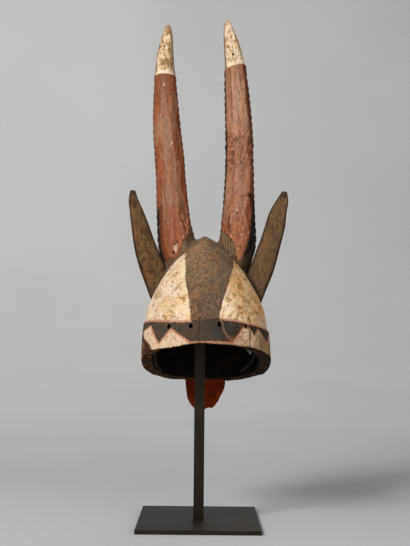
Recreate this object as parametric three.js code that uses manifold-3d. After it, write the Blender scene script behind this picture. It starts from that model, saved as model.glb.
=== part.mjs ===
// An antelope helmet mask, carved from one block of wood, held up by a steel display stand.
// Millimetres, +Z up, the face looks along -Y, and the origin is the centre of the base plate's underside.
import * as THREE from "three";
import { mergeVertices } from "three/addons/utils/BufferGeometryUtils.js";
import Module from "manifold-3d";

const wasm = await Module();
wasm.setup();

// Stand
const PLATE = { width: 234, depth: 250, thickness: 8, edge: 0.8 };
const POST = { side: 20, y: -18, top: 451, edge: 1 };
const TOUCH_GAP = 0.3;

// Where the helmet's rim lies, and how far the whole mask is tipped back on its stand
const RIM_CENTRE = new THREE.Vector3(12, -10, 311);
const TIP_BACK = THREE.MathUtils.degToRad(18);

// Helmet, in the mask's own frame: z is the height above the rim, -y is the face, x is the side
const HELMET = { halfWidth: 127.5, front: 132, back: 134, height: 272, sideLean: -0.016 };
const HOLLOW = { x: -0.8, halfWidth: 105.2, front: 113, back: 110, height: 210 };
const RIM_EDGE = 1.5;
const BAND = { height: 46, riseAtSides: 11, proud: 2.2 };
const FRONT_EXPONENT = { rim: 2.3, brow: 1.66 };
const BACK_EXPONENT = { rim: 2.8, crown: 2.3 };
const AROUND = 48;
const BAND_HOLES = [
  { angle: -31.2, height: 37.5 },
  { angle: -12.4, height: 32 },
  { angle: 10.4, height: 35.5 },
  { angle: 32.6, height: 39 },
];
const HOLE_RADIUS = 3.4;

// Horns: the centre line's x by height above the rim, up to the tip, and where the pale tip begins
const HORN_LEFT = {
  z: [178, 205, 230, 255, 305, 355, 430, 505, 580, 655, 700, 715],
  x: [-38, -48, -56, -62.3, -70, -75, -81.2, -89, -91.7, -92, -88.7, -88],
  tip: 609,
};
const HORN_RIGHT = {
  z: [178, 205, 230, 255, 305, 355, 430, 505, 580, 655, 700, 728],
  x: [38, 48, 55.5, 62.3, 65, 66, 67.4, 65.2, 60.4, 52.8, 44, 37.6],
  tip: 630,
};
const HORN = { share: [0, 0.06, 0.115, 0.175, 0.29, 0.46, 0.68, 0.8, 0.91, 1], step: 1.2, sides: 18 };
const HORN_RADIUS = [35, 37.2, 38.6, 39, 34.9, 31, 28.8, 27.2, 24.7, 22.8];
const HORN_BACK = { atBase: 12, atTip: -115, bow: 18 };
const RINGS = { pitch: 15, depth: 2.6, from: 262 };

// Ears: outer and inner edge by height, from the root inside the helmet to the tip
const EAR_LEFT = {
  z: [112, 160, 195, 225, 255, 285, 315, 340, 358],
  outer: [-104, -123, -136.5, -146, -152, -156.5, -160.5, -163, -160.5],
  inner: [-62, -71, -81, -95.5, -108.5, -119.5, -132.5, -144.5, -152],
};
const EAR_RIGHT = {
  z: [112, 160, 195, 225, 255, 285, 315, 340, 358],
  outer: [104, 123, 137, 145.5, 153.5, 160.5, 164, 167.5, 165],
  inner: [64, 74, 84.5, 97, 108.5, 118.5, 129, 144, 156.5],
};
const EAR = {
  y: [14, 3.8, -4.2, -11.3, -17.7, -23.9, -29.4, -34, -37],
  halfThickness: [15, 13.5, 12.5, 11.5, 10.5, 9.5, 8, 6, 4],
  dish: 0.62,
  sides: 16,
};

// Tongue-shaped flap below the back of the rim
const FLAP = { x: -2, halfWidth: 41.5, shoulder: 29, tip: 7, length: 64, thickness: 13, y: 120, overlap: 26 };

// Cradle inside the helmet: an open hoop, tilted in the mask's frame, with two arms and one small tab
const HOOP = { radius: 2.8, x: -1, halfWidth: 100.6, halfDepth: 93, height: 18.5, rightRise: 0.09, backDrop: 0.35 };
const HOOP_ENDS = [-118, 134].map(THREE.MathUtils.degToRad);
const ARM = { radius: 4, atPost: 361, hoopAngle: THREE.MathUtils.degToRad(60) };
const TAB = { left: 86, right: 104, top: 352, corner: 343.5, tipX: 99, tip: 327.5, thickness: 5, y: -20 };

const { sin, cos, abs, sign, pow, PI, min, max } = Math;
const { degToRad, lerp, smoothstep } = THREE.MathUtils;

// A closed geometry through equal rings of points, with a fan of triangles over each end ring
function loft(rings) {
  const count = rings[0].length;
  const points = rings.flat();
  const faces = [];
  for (let i = 0; i + 1 < rings.length; i++) {
    for (let j = 0; j < count; j++) {
      const a = i * count + j;
      const b = i * count + ((j + 1) % count);
      faces.push(a, b, a + count, b, b + count, a + count);
    }
  }
  const ends = [rings[0], rings[rings.length - 1]];
  ends.forEach((ring, end) => {
    const middle = ring.reduce((sum, p) => sum.add(p), new THREE.Vector3()).divideScalar(count);
    const m = points.push(middle) - 1;
    const first = end ? (rings.length - 1) * count : 0;
    for (let j = 0; j < count; j++) {
      const a = first + j;
      const b = first + ((j + 1) % count);
      faces.push(...(end ? [m, a, b] : [m, b, a]));
    }
  });
  const geometry = new THREE.BufferGeometry().setFromPoints(points);
  geometry.setIndex(faces);
  return geometry;
}

function solidOf(geometry) {
  const bare = geometry.clone();
  bare.deleteAttribute("normal");
  bare.deleteAttribute("uv");
  const merged = mergeVertices(bare, 1e-4);
  return new wasm.Manifold(
    new wasm.Mesh({
      numProp: 3,
      vertProperties: merged.attributes.position.array,
      triVerts: new Uint32Array(merged.index.array),
    }),
  );
}

function geometryOf(solid) {
  const { vertProperties, triVerts } = solid.getMesh();
  const geometry = new THREE.BufferGeometry();
  geometry.setAttribute("position", new THREE.BufferAttribute(vertProperties, 3));
  geometry.setIndex(new THREE.BufferAttribute(triVerts, 1));
  geometry.computeVertexNormals();
  return geometry;
}

function named(name, geometry, material) {
  const mesh = new THREE.Mesh(geometry, material);
  mesh.name = name;
  return mesh;
}

// How much of its width a dome keeps at a share of its height
function taper(share, p, q) {
  return pow(max(0, 1 - pow(max(0, share), p)), 1 / q);
}

// One turn round the helmet at a height, in superellipse quarters
function slice(z, x0, halfWidth, front, back, frontExponent, backExponent) {
  const ring = [];
  for (let i = 0; i < AROUND; i++) {
    const t = (i / AROUND) * 2 * PI;
    const facing = cos(t) > 0;
    const power = 2 / (facing ? frontExponent : backExponent);
    const x = halfWidth * sign(sin(t)) * pow(abs(sin(t)), power);
    const y = -(facing ? front : back) * sign(cos(t)) * pow(abs(cos(t)), power);
    ring.push(new THREE.Vector3(x0 + x + HELMET.sideLean * z, y, z));
  }
  return ring;
}

// The face grows a soft keel above the band, and the back grows rounder towards the crown
function helmetSlice(z, inset) {
  const share = z / HELMET.height;
  return slice(
    z,
    0,
    max(0.5, HELMET.halfWidth * taper(share, 2.4, 1.25) - inset),
    max(0.5, HELMET.front * taper(share, 1.9, 1.5) - inset),
    max(0.5, HELMET.back * taper(share, 2.5, 1.9) - inset),
    lerp(FRONT_EXPONENT.rim, FRONT_EXPONENT.brow, smoothstep(z, 20, 130)),
    lerp(BACK_EXPONENT.rim, BACK_EXPONENT.crown, smoothstep(z, 60, 200)),
  );
}

function hollowSlice(z) {
  const share = z / HOLLOW.height;
  return slice(
    z,
    HOLLOW.x,
    max(0.5, HOLLOW.halfWidth * taper(share, 2.4, 1.8)),
    max(0.5, HOLLOW.front * taper(share, 2, 1.7)),
    max(0.5, HOLLOW.back * taper(share, 2.6, 2)),
    FRONT_EXPONENT.rim,
    BACK_EXPONENT.rim,
  );
}

// The painted band stands proud of the panels above it, and its top edge rises towards the sides
function bandSlices() {
  return [0, BAND.proud].map((inset) => {
    const ring = helmetSlice(BAND.height, inset);
    for (const p of ring) {
      const turn = abs(Math.atan2(p.x, -p.y));
      p.z += BAND.riseAtSides * smoothstep(turn, 0, degToRad(80)) + inset;
    }
    return ring;
  });
}

function helmetOuter() {
  const heights = [92, 115, 138, 160, 180, 198, 214, 228, 240, 250, 258, 264.5, 269];
  const rings = [helmetSlice(0, RIM_EDGE), helmetSlice(RIM_EDGE, 0), helmetSlice(24, 0)];
  rings.push(...bandSlices());
  for (const z of heights) rings.push(helmetSlice(z, BAND.proud));
  return loft(rings);
}

function helmetHollow() {
  const heights = [-12, 0, 40, 80, 112, 138, 160, 178, 192, 202, 208.5];
  return loft(heights.map((z) => (z < 0 ? hollowSlice(0).map((p) => p.setZ(z)) : hollowSlice(z))));
}

// A smooth curve through named stations, read at any height
function stations(heights, values) {
  const curve = new THREE.CatmullRomCurve3(heights.map((z, i) => new THREE.Vector3(values[i], 0, z)));
  return (z) => {
    let low = 0;
    let high = 1;
    for (let i = 0; i < 24; i++) {
      const middle = (low + high) / 2;
      if (curve.getPoint(middle).z < z) low = middle;
      else high = middle;
    }
    return curve.getPoint(low).x;
  };
}

// The section is round behind and flattened in front. The back carries the carved rings.
function hornRing(centre, along, radius, groove) {
  const side = new THREE.Vector3(1, 0, 0).addScaledVector(along, -along.x).normalize();
  const rear = along.clone().cross(side);
  const ring = [];
  for (let i = 0; i < HORN.sides; i++) {
    const t = (i / HORN.sides) * 2 * PI;
    const facet = 1 - 0.09 * pow(max(0, cos(t)), 3);
    const r = radius * facet - groove * smoothstep(-cos(t), -0.35, 0.4);
    ring.push(centre.clone().addScaledVector(side, r * sin(t)).addScaledVector(rear, -r * cos(t)));
  }
  return ring;
}

function horn(shape) {
  const foot = shape.z[0];
  const top = shape.z[shape.z.length - 1];
  const across = stations(shape.z, shape.x);
  const heights = HORN.share.map((share) => lerp(foot, shape.tip, share));
  const body = stations(heights, HORN_RADIUS);
  const tipRadius = HORN_RADIUS[HORN_RADIUS.length - 1] - HORN.step;
  const back = (z) => {
    const share = (z - foot) / (top - foot);
    return lerp(HORN_BACK.atBase, HORN_BACK.atTip, share) + HORN_BACK.bow * sin(PI * share);
  };
  const at = (z, radius, groove = 0) => {
    const centre = new THREE.Vector3(across(z), back(z), z);
    const along = new THREE.Vector3(across(z + 2), back(z + 2), z + 2).sub(centre).normalize();
    return hornRing(centre, along, radius, groove);
  };
  const rings = [foot, 205, 230, 248].map((z) => at(z, body(z)));
  for (let z = RINGS.from; z < shape.tip - 6; z += RINGS.pitch) {
    const rise = z - RINGS.pitch * 0.3;
    rings.push(at(rise, body(rise)), at(z, body(z), RINGS.depth));
  }
  rings.push(at(shape.tip, body(shape.tip)));
  for (const share of [0.01, 0.2, 0.4, 0.58, 0.74, 0.87, 0.96, 1]) {
    rings.push(at(lerp(shape.tip, top, share), tipRadius * taper(share, 1.5, 1 / 0.6) + 0.4));
  }
  return loft(rings);
}

function ear(shape) {
  const foot = shape.z[0];
  const top = shape.z[shape.z.length - 1];
  const outer = stations(shape.z, shape.outer);
  const inner = stations(shape.z, shape.inner);
  const back = stations(shape.z, EAR.y);
  const halfThickness = stations(shape.z, EAR.halfThickness);
  const rings = [];
  const steps = 16;
  for (let k = 0; k <= steps; k++) {
    const z = lerp(foot, top, k / steps);
    const middle = (outer(z) + inner(z)) / 2;
    const halfWidth = abs(outer(z) - inner(z)) / 2;
    const ring = [];
    for (let i = 0; i < EAR.sides; i++) {
      const t = (i / EAR.sides) * 2 * PI;
      const dish = cos(t) > 0 ? EAR.dish : 1;
      const x = middle + halfWidth * sin(t);
      ring.push(new THREE.Vector3(x, back(z) - halfThickness(z) * dish * cos(t), z));
    }
    rings.push(ring);
  }
  return loft(rings);
}

function flap() {
  const outline = new THREE.Shape();
  outline.moveTo(-FLAP.halfWidth, FLAP.overlap);
  outline.lineTo(-FLAP.halfWidth, 0);
  outline.quadraticCurveTo(-FLAP.halfWidth + 2.5, -30, -FLAP.shoulder, -50);
  outline.quadraticCurveTo(-FLAP.shoulder + 8, -FLAP.length, -FLAP.tip, -FLAP.length);
  outline.lineTo(FLAP.tip, -FLAP.length);
  outline.quadraticCurveTo(FLAP.shoulder - 8, -FLAP.length, FLAP.shoulder, -50);
  outline.quadraticCurveTo(FLAP.halfWidth - 2.5, -30, FLAP.halfWidth, 0);
  outline.lineTo(FLAP.halfWidth, FLAP.overlap);
  const shape = new THREE.ExtrudeGeometry(outline, {
    depth: FLAP.thickness - 3,
    bevelThickness: 1.5,
    bevelSize: 1.5,
    bevelOffset: -1.5,
    bevelSegments: 1,
    curveSegments: 5,
  });
  return shape.rotateX(PI / 2).translate(FLAP.x, FLAP.y + FLAP.thickness - 1.5, 0);
}

function bandHole({ angle, height }) {
  const reach = HELMET.front + 20;
  const drill = new THREE.CylinderGeometry(HOLE_RADIUS, HOLE_RADIUS, reach, 12);
  return drill.translate(0, reach / 2, 0).rotateX(PI).rotateZ(degToRad(angle)).translate(0, 0, height);
}

function carvedMask() {
  let block = solidOf(helmetOuter());
  for (const piece of [horn(HORN_LEFT), horn(HORN_RIGHT), ear(EAR_LEFT), ear(EAR_RIGHT), flap()]) {
    block = block.add(solidOf(piece));
  }
  block = block.subtract(solidOf(helmetHollow()));
  for (const hole of BAND_HOLES) block = block.subtract(solidOf(bandHole(hole)));
  return geometryOf(block);
}

// A plate or bar with its edges eased by a small chamfer
function easedBox(width, depth, height, edge) {
  const outline = new THREE.Shape();
  const x = width / 2 - edge;
  const y = depth / 2 - edge;
  outline.moveTo(-x, -y).lineTo(x, -y).lineTo(x, y).lineTo(-x, y);
  return new THREE.ExtrudeGeometry(outline, {
    depth: height - 2 * edge,
    bevelThickness: edge,
    bevelSize: edge,
    bevelSegments: 1,
  }).translate(0, 0, edge);
}

// The hoop's centre line at an angle from the front, in the mask's frame
function hoopPoint(t) {
  const x = HOOP.x + HOOP.halfWidth * sin(t);
  const y = -HOOP.halfDepth * cos(t);
  return new THREE.Vector3(x, y, HOOP.height + HOOP.rightRise * x - HOOP.backDrop * y);
}

function rod(curve, radius, sides, steps) {
  const section = new THREE.Shape();
  for (let i = 0; i < sides; i++) {
    const t = (i / sides) * 2 * PI;
    const to = i ? "lineTo" : "moveTo";
    section[to](radius * cos(t), radius * sin(t));
  }
  return new THREE.ExtrudeGeometry(section, { steps, extrudePath: curve, bevelEnabled: false });
}

function hoop() {
  const points = [];
  for (let i = 0; i <= 24; i++) points.push(hoopPoint(lerp(...HOOP_ENDS, i / 24)));
  return rod(new THREE.CatmullRomCurve3(points), HOOP.radius, 8, 56);
}

// An arm runs straight from the post's side to the hoop's side
function arm(side, maskFrame) {
  const start = new THREE.Vector3(side * (POST.side / 2), POST.y, ARM.atPost);
  const end = maskFrame.localToWorld(hoopPoint(side * ARM.hoopAngle));
  const inward = start.clone().sub(end).normalize();
  const slope = Math.hypot(inward.y, inward.z);
  start.addScaledVector(inward, -(TOUCH_GAP + ARM.radius * slope));
  end.addScaledVector(inward, HOOP.radius + TOUCH_GAP + ARM.radius * slope);
  return rod(new THREE.LineCurve3(start, end), ARM.radius, 8, 1);
}

// A small tab hangs inside the hoop's right side, cut to a point below
function tabShape() {
  const outline = new THREE.Shape();
  outline.moveTo(TAB.left, TAB.top).lineTo(TAB.left, TAB.corner).lineTo(TAB.tipX, TAB.tip);
  outline.lineTo(TAB.right, TAB.corner).lineTo(TAB.right, TAB.top);
  const shape = new THREE.ExtrudeGeometry(outline, { depth: TAB.thickness, bevelEnabled: false });
  return shape.rotateX(PI / 2).translate(0, TAB.thickness / 2, 0);
}

const wood = new THREE.MeshStandardMaterial({ color: 0x6b5540, roughness: 0.85, metalness: 0 });
const steel = new THREE.MeshStandardMaterial({ color: 0x3a332c, roughness: 0.45, metalness: 0.7 });
const greyPlastic = new THREE.MeshStandardMaterial({ color: 0x8b9290, roughness: 0.6, metalness: 0 });

const object = new THREE.Group();

const stand = new THREE.Group();
object.add(stand);
stand.add(named("base_plate", easedBox(PLATE.width, PLATE.depth, PLATE.thickness, PLATE.edge), steel));

const postFoot = PLATE.thickness + TOUCH_GAP;
const post = named("post", easedBox(POST.side, POST.side, POST.top - postFoot, POST.edge), steel);
post.position.set(0, POST.y, postFoot);
stand.add(post);

const mask = new THREE.Group();
mask.position.copy(RIM_CENTRE);
mask.rotation.x = -TIP_BACK;
object.add(mask);
mask.add(named("mask", carvedMask(), wood));
mask.add(named("cradle_hoop", hoop(), steel));
mask.updateMatrixWorld(true);

stand.add(named("cradle_arm_left", arm(-1, mask), steel));
stand.add(named("cradle_arm_right", arm(1, mask), steel));

const tab = named("cradle_tab", tabShape(), greyPlastic);
tab.position.y = TAB.y;
stand.add(tab);

export default object;
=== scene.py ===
# %% [markdown]
# # An antelope helmet mask on its display stand
# The real mask is one block of wood. It was hollowed to go over a head, carved with two tall horns, two
# ears and a tongue-shaped flap, and painted with earth colours that have worn and flaked. A steel stand
# holds it up. This lesson loads the measured model, builds the carved wood again as one fine mesh, and then
# makes each finish out of shader maths.

import math

import bpy
import numpy as np
from mathutils import Matrix, Vector, noise
from mathutils.bvhtree import BVHTree


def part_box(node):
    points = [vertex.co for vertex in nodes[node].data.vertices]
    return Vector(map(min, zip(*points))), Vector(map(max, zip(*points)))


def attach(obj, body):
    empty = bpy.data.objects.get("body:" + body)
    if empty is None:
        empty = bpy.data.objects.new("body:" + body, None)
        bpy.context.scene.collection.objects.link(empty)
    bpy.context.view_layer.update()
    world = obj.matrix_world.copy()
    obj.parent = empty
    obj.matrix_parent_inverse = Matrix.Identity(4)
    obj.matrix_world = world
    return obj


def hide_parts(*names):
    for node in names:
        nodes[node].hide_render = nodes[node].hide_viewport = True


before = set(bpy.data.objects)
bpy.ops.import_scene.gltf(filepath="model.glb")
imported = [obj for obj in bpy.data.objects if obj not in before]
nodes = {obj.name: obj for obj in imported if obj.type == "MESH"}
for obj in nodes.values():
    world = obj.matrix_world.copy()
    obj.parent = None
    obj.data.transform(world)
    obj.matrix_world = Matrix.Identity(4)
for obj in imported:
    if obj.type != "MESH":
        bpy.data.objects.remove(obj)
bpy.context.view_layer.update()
mask_low, mask_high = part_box("mask")
print("pieces:", ", ".join(sorted(nodes)))
print("the mask is", round((mask_high - mask_low).z, 3), "m tall")

# %% [markdown]
# ## The viewpoint
# The picture was taken from a little under two metres, with the camera near the height of the rim and
# tipped up a few degrees. A camera's lens is a length on its sensor, so the focal length in pixels is
# turned into millimetres of a 36 mm sensor. The small roll is the tilt of the picture itself.

# %% The camera
PHOTO_HEIGHT = 546
FOCAL_PIXELS = 950
SENSOR = 36
CAMERA_PLACE = (0.0084, -1.8902, 0.3676)
PITCH_UP = math.radians(3.67)
ROLL = math.radians(0.52)

camera_data = bpy.data.cameras.new("camera")
camera_data.sensor_width = SENSOR
camera_data.lens = FOCAL_PIXELS / PHOTO_HEIGHT * SENSOR
camera = bpy.data.objects.new("camera", camera_data)
bpy.context.collection.objects.link(camera)
turned = Matrix.Rotation(math.pi / 2 + PITCH_UP, 4, "X") @ Matrix.Rotation(ROLL, 4, "Z")
camera.matrix_world = Matrix.Translation(CAMERA_PLACE) @ turned
bpy.context.scene.camera = camera
print("lens", round(camera_data.lens, 1), "mm")

# %% [markdown]
# ## Small tools for shapes
# Everything here is a loft: rings of points, joined by a skin. Numpy works on all the points at once, which
# keeps a ring's formula on one line. Lengths are in millimetres in the mask's own frame, where z is the
# height above the rim, -y is the face and x is the side. One matrix turns them into metres on the stand.

# %% Helpers that work on whole arrays of numbers
MM = 0.001
RIM_CENTRE = Vector((12, -10, 311)) * MM
TIP_BACK = math.radians(18)
TO_STAND = (
    Matrix.Translation(RIM_CENTRE) @ Matrix.Rotation(-TIP_BACK, 4, "X") @ Matrix.Scale(MM, 4)
)


def ease(value, low, high):
    """0 below low, 1 above high, and a smooth rise between them."""
    share = np.clip((value - low) / (high - low), 0, 1)
    return share * share * (3 - 2 * share)


def between(a, b, share):
    return a + (b - a) * share


def full_turn(count):
    return np.linspace(-math.pi, math.pi, count, endpoint=False)


def keep(share, p, q):
    """How much of its width a dome keeps at a share of its height."""
    return np.maximum(0, 1 - np.clip(share, 0, 1) ** p) ** (1 / q)


def signed_power(value, power):
    return np.sign(value) * np.abs(value) ** power


def curve(heights, values):
    """A smooth line through stations, which gives a value at any height."""
    heights, values = np.array(heights, float), np.array(values, float)
    slopes = np.gradient(values, heights)

    def read(z):
        i = np.clip(np.searchsorted(heights, z) - 1, 0, len(heights) - 2)
        span = heights[i + 1] - heights[i]
        s = np.clip((z - heights[i]) / span, 0, 1)
        rise = values[i + 1] - values[i]
        bend = s * (1 - s) * ((1 - s) * (slopes[i] * span - rise) - s * (slopes[i + 1] * span - rise))
        return values[i] + rise * s + bend

    return read


# %% Noise, skins and meshes
def rough(points, size, seed=0):
    """Smooth noise between about -1 and 1 for rows of points, with bumps of about that size."""
    flat = points.reshape(-1, 3) / size + seed * 17.3
    values = np.array([noise.noise(Vector(p)) for p in flat])
    return values.reshape(points.shape[:-1])


def skin(rings):
    """The points' numbers in each ring, those of their neighbours, and the faces from ring to ring."""
    rows, around = rings.shape[:2]
    grid = np.arange(rows * around).reshape(rows, around)
    right = np.roll(grid, -1, axis=1)
    faces = np.stack([grid[:-1], right[:-1], right[1:], grid[1:]], -1).reshape(-1, 4).tolist()
    return grid, right, faces


def loft(rings):
    """Vertices and faces of a closed body through equal rings, with a fan over each end."""
    grid, right, faces = skin(rings)
    low, high = grid.size, grid.size + 1
    faces += [(low, b, a) for a, b in zip(grid[0], right[0])]
    faces += [(high, a, b) for a, b in zip(grid[-1], right[-1])]
    middles = [rings[0].mean(0), rings[-1].mean(0)]
    return np.vstack([rings.reshape(-1, 3), middles]), faces


def add_mesh(name, points, faces):
    mesh = bpy.data.meshes.new(name)
    mesh.from_pydata(points.tolist(), [], faces)
    made = bpy.data.objects.new(name, mesh)
    bpy.context.collection.objects.link(made)
    return made


# %% [markdown]
# ## The helmet
# The helmet is a dome on a rounded-square rim. Each height has a superellipse: the rim is squarish, and the
# brow sharpens to a soft keel. The band along the rim stands a little proud of the cheeks above it, and its
# top edge climbs on the left. Steps of equal length round the rim keep the mesh even where the ring turns.

# %% The helmet's outside and its hollow
HELMET = {"half_width": 127.5, "front": 132, "back": 134, "height": 272, "lean": -0.016}
HOLLOW = {"x": -0.8, "half_width": 105.2, "front": 113, "back": 110, "height": 210}
TEMPLE_SWELL = 2.8
TEMPLE_HEIGHT = 105
TEMPLE_SPREAD = 38
DOME_TOP = 269
HOLLOW_TOP = 208.5
BELOW_RIM = 16
FRONT_FLARE = 8
RIM_EDGE = 1.5
UNDERSIDE = 13
DROP_FADE = 34
PROUD = 2.2
HELMET_AROUND = 260
HOLLOW_AROUND = 150
BAND_ROWS = 20
DOME_ROWS = 66
HOLLOW_ROWS = 48


def helmet_reaches(z, inset):
    share = z / HELMET["height"]
    swell = TEMPLE_SWELL * np.exp(-(((z - TEMPLE_HEIGHT) / TEMPLE_SPREAD) ** 2))
    half_width = np.maximum(0.5, HELMET["half_width"] * keep(share, 2.4, 1.25) + swell - inset)
    front = np.maximum(0.5, HELMET["front"] * keep(share, 1.9, 1.5) - inset)
    back = np.maximum(0.5, HELMET["back"] * keep(share, 2.5, 1.9) - inset)
    return half_width, front, back


def helmet_power(turn, z):
    front = between(2.3, 1.66, ease(z, 20, 130))
    back = between(2.62, 2.3, ease(z, 60, 200))
    return np.where(np.cos(turn) > 0, front, back)


def helmet_wall(turn, z, inset):
    half_width, front, back = helmet_reaches(z, inset)
    power = 2 / helmet_power(turn, z)
    x = half_width * signed_power(np.sin(turn), power) + HELMET["lean"] * z
    y = -np.where(np.cos(turn) > 0, front, back) * signed_power(np.cos(turn), power)
    return np.stack([x, y, z + 0 * turn], -1)


def hollow_wall(turn, z):
    share = z / HOLLOW["height"]
    half_width = np.maximum(0.5, HOLLOW["half_width"] * keep(share, 2.4, 1.8))
    front = np.maximum(0.5, HOLLOW["front"] * keep(share, 2, 1.7)) + FRONT_FLARE * (1 - ease(z, 0, 30))
    back = np.maximum(0.5, HOLLOW["back"] * keep(share, 2.6, 2))
    facing = np.cos(turn) > 0
    power = 2 / np.where(facing, 2.3, 2.8)
    x = HOLLOW["x"] + half_width * signed_power(np.sin(turn), power) + HELMET["lean"] * z
    y = -np.where(facing, front, back) * signed_power(np.cos(turn), power)
    return np.stack([x, y, z + 0 * turn], -1)


# %% Steps of equal length round the rim
FINE_TURNS = np.linspace(-math.pi, math.pi, 7201)
rim_points = helmet_wall(FINE_TURNS, 24.0, 0)
rim_steps = np.linalg.norm(np.diff(rim_points, axis=0), axis=1)
RIM_ARC = np.concatenate([[0], np.cumsum(rim_steps)])
RIM_ARC -= np.interp(0, FINE_TURNS, RIM_ARC)
print("round the rim:", round(rim_steps.sum()), "mm")


def even_turns(count):
    arcs = np.linspace(RIM_ARC[0], RIM_ARC[-1], count, endpoint=False)
    return np.interp(arcs, RIM_ARC, FINE_TURNS)


def arc_of(turn):
    """Distance round the rim from the middle of the face, in millimetres, minus on the left."""
    return np.interp(turn, FINE_TURNS, RIM_ARC)


# %% The band's top, the drooping edge and the rings
band_top = curve(
    [-460, -300, -190, -129, -92, -61, -37, 0, 24, 100, 129, 190, 300, 460],
    [66, 72, 77, 63.5, 53, 46.5, 44.5, 46, 48.5, 48.5, 51, 58, 64, 66],
)
rim_drop = curve(
    [-460, -140, -105, -79, -57, -29, -11, 28, 48, 67, 87, 120, 460],
    [0, 0, 2.6, 5.3, 5, 1.8, 0.6, 2, 1.5, 2.2, 0.5, 0, 0],
)


def helmet_rings():
    turn = even_turns(HELMET_AROUND)
    arc = arc_of(turn)
    top, drop = band_top(arc), np.maximum(rim_drop(arc), 0)
    level = 0 * turn
    rows = [(RIM_EDGE * ease(drop, 0, 3), UNDERSIDE), (level, RIM_EDGE), (level + 0.45, 0.45)]
    rows.append((level + RIM_EDGE, 0))
    rows += [(between(RIM_EDGE, top, s), 0) for s in np.linspace(0, 1, BAND_ROWS + 1)[1:]]
    rows.append((top + 0.8, 0.5 * PROUD))
    shares = 1 - (1 - np.linspace(0, 1, DOME_ROWS)) ** 1.6
    rows += [(between(top + PROUD, DOME_TOP, s), PROUD) for s in shares]
    rings = np.array([helmet_wall(turn, z, inset) for z, inset in rows])
    rings[1:, :, 2] -= drop * (1 - ease(rings[1:, :, 2], 0, DROP_FADE))
    return rings


def hollow_rings():
    turn = even_turns(HOLLOW_AROUND)
    heights = HOLLOW_TOP * (1 - (1 - np.linspace(0, 1, HOLLOW_ROWS)) ** 1.5)
    below = hollow_wall(turn, 0 * turn) - (0, 0, BELOW_RIM)
    return np.array([below] + [hollow_wall(turn, z + 0 * turn) for z in heights])


helmet_points, helmet_faces = loft(helmet_rings())
hollow_points, hollow_faces = loft(hollow_rings())
helmet_tree = BVHTree.FromPolygons(helmet_points.tolist(), helmet_faces)
print("helmet", len(helmet_faces), "faces, hollow", len(hollow_faces))

# %% [markdown]
# ## The horns
# A horn is a long leaning cone. The carver left flat cuts down its front and cut rings round its back, 15
# mm apart, so the outline is notched. The pale tip is a little thinner than the red part, which leaves a
# ledge. A flat cut is the nearest of a few planes, so the section is the smallest reach of the planes and
# the circle. The adze also took shallow scoops out of the flats. Each is a bowl with a crisp rim, and where
# two meet, the deeper one wins. At its foot the horn spreads out to meet the helmet, as a fillet does.

# %% The horns' lines and sections
HORNS = {
    "left": {
        "z": [178, 205, 230, 255, 305, 355, 430, 505, 580, 655, 700, 715],
        "x": [-38, -48, -56, -62.3, -70, -74.2, -80, -87.4, -91, -92, -87.6, -86.6],
        "tip": 609,
        "ledge": (-1.5, 2.0),
        "facing": 0.0,
        "swell": (1.5, 470),
        "step": {"turns": (0.4, 1.15), "top": 338, "length": 34, "depth": 1.8},
        "seed": 3,
    },
    "right": {
        "z": [178, 205, 230, 255, 305, 355, 430, 505, 580, 655, 700, 728],
        "x": [38, 48, 55.5, 62.3, 65, 66, 67.4, 65.2, 60.4, 52.8, 44, 37.6],
        "tip": 630,
        "ledge": (4.0, 3.0),
        "facing": 0.26,
        "swell": (1.0, 590),
        "step": {"turns": (0.08, 1.3), "top": 353, "length": 60, "depth": 2.8},
        "seed": 8,
    },
}
HORN_SHARES = [0, 0.06, 0.115, 0.175, 0.29, 0.46, 0.68, 0.8, 0.91, 1]
HORN_RADII = [35, 37.2, 38.6, 39, 35.3, 31.6, 29.3, 27.6, 25.1, 23]
HORN_FOOT_Y = 12
HORN_TIP_Y = -115
HORN_BOW = 18
TIP_STEP = 1.4
RING_PITCH = 15
RING_DEPTH = 3.4
RING_FROM = 262
CUTS = [(0, 0.915), (0.92, 0.95), (-0.92, 0.945), (1.65, 0.985), (-1.7, 0.985)]
CUT_LENGTH = 47
SCOOP_PITCH = 11
HORN_AROUND = 92
HORN_ROW = 2.0
print("horn tips start at", [horn["tip"] for horn in HORNS.values()], "mm")


# %% A horn's lines
def horn_lines(horn):
    """The horn's centre, its direction and its radius, each as a function of height."""
    foot, top = horn["z"][0], horn["z"][-1]
    across = curve(horn["z"], horn["x"])
    body = curve([between(foot, horn["tip"], s) for s in HORN_SHARES], HORN_RADII)

    def centre(z):
        share = (z - foot) / (top - foot)
        deep = between(HORN_FOOT_Y, HORN_TIP_Y, share) + HORN_BOW * np.sin(np.pi * share)
        return np.stack([across(z), deep, z], -1)

    def along(z):
        step = centre(z + 1.0) - centre(z - 1.0)
        return step / np.linalg.norm(step, axis=-1, keepdims=True)

    def radius(z):
        share = np.clip((z - horn["tip"]) / (top - horn["tip"]), 0, 1)
        point = (HORN_RADII[-1] - TIP_STEP) * keep(share, 1.1, 2) + 0.4
        amount, middle = horn["swell"]
        swell = amount * np.exp(-(((z - middle) / 90) ** 2))
        return np.where(z < horn["tip"], body(np.minimum(z, horn["tip"])) + swell, point)

    return centre, along, radius


def cross_axes(directions):
    """The sideways and the rearward direction across a horn that runs along the given ones."""
    side = np.array([1.0, 0, 0]) - directions * directions[:, :1]
    side /= np.linalg.norm(side, axis=1, keepdims=True)
    return side, np.cross(directions, side)


# %% Scoops, and the step above the crusty part
def cut_drift(z, horn):
    """How far round the horn its flat cuts have wandered at each height."""
    wander = np.stack([z / 90, 0 * z + horn["seed"], 0 * z], -1)
    return horn["facing"] + 0.14 * rough(wander, 1)


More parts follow.
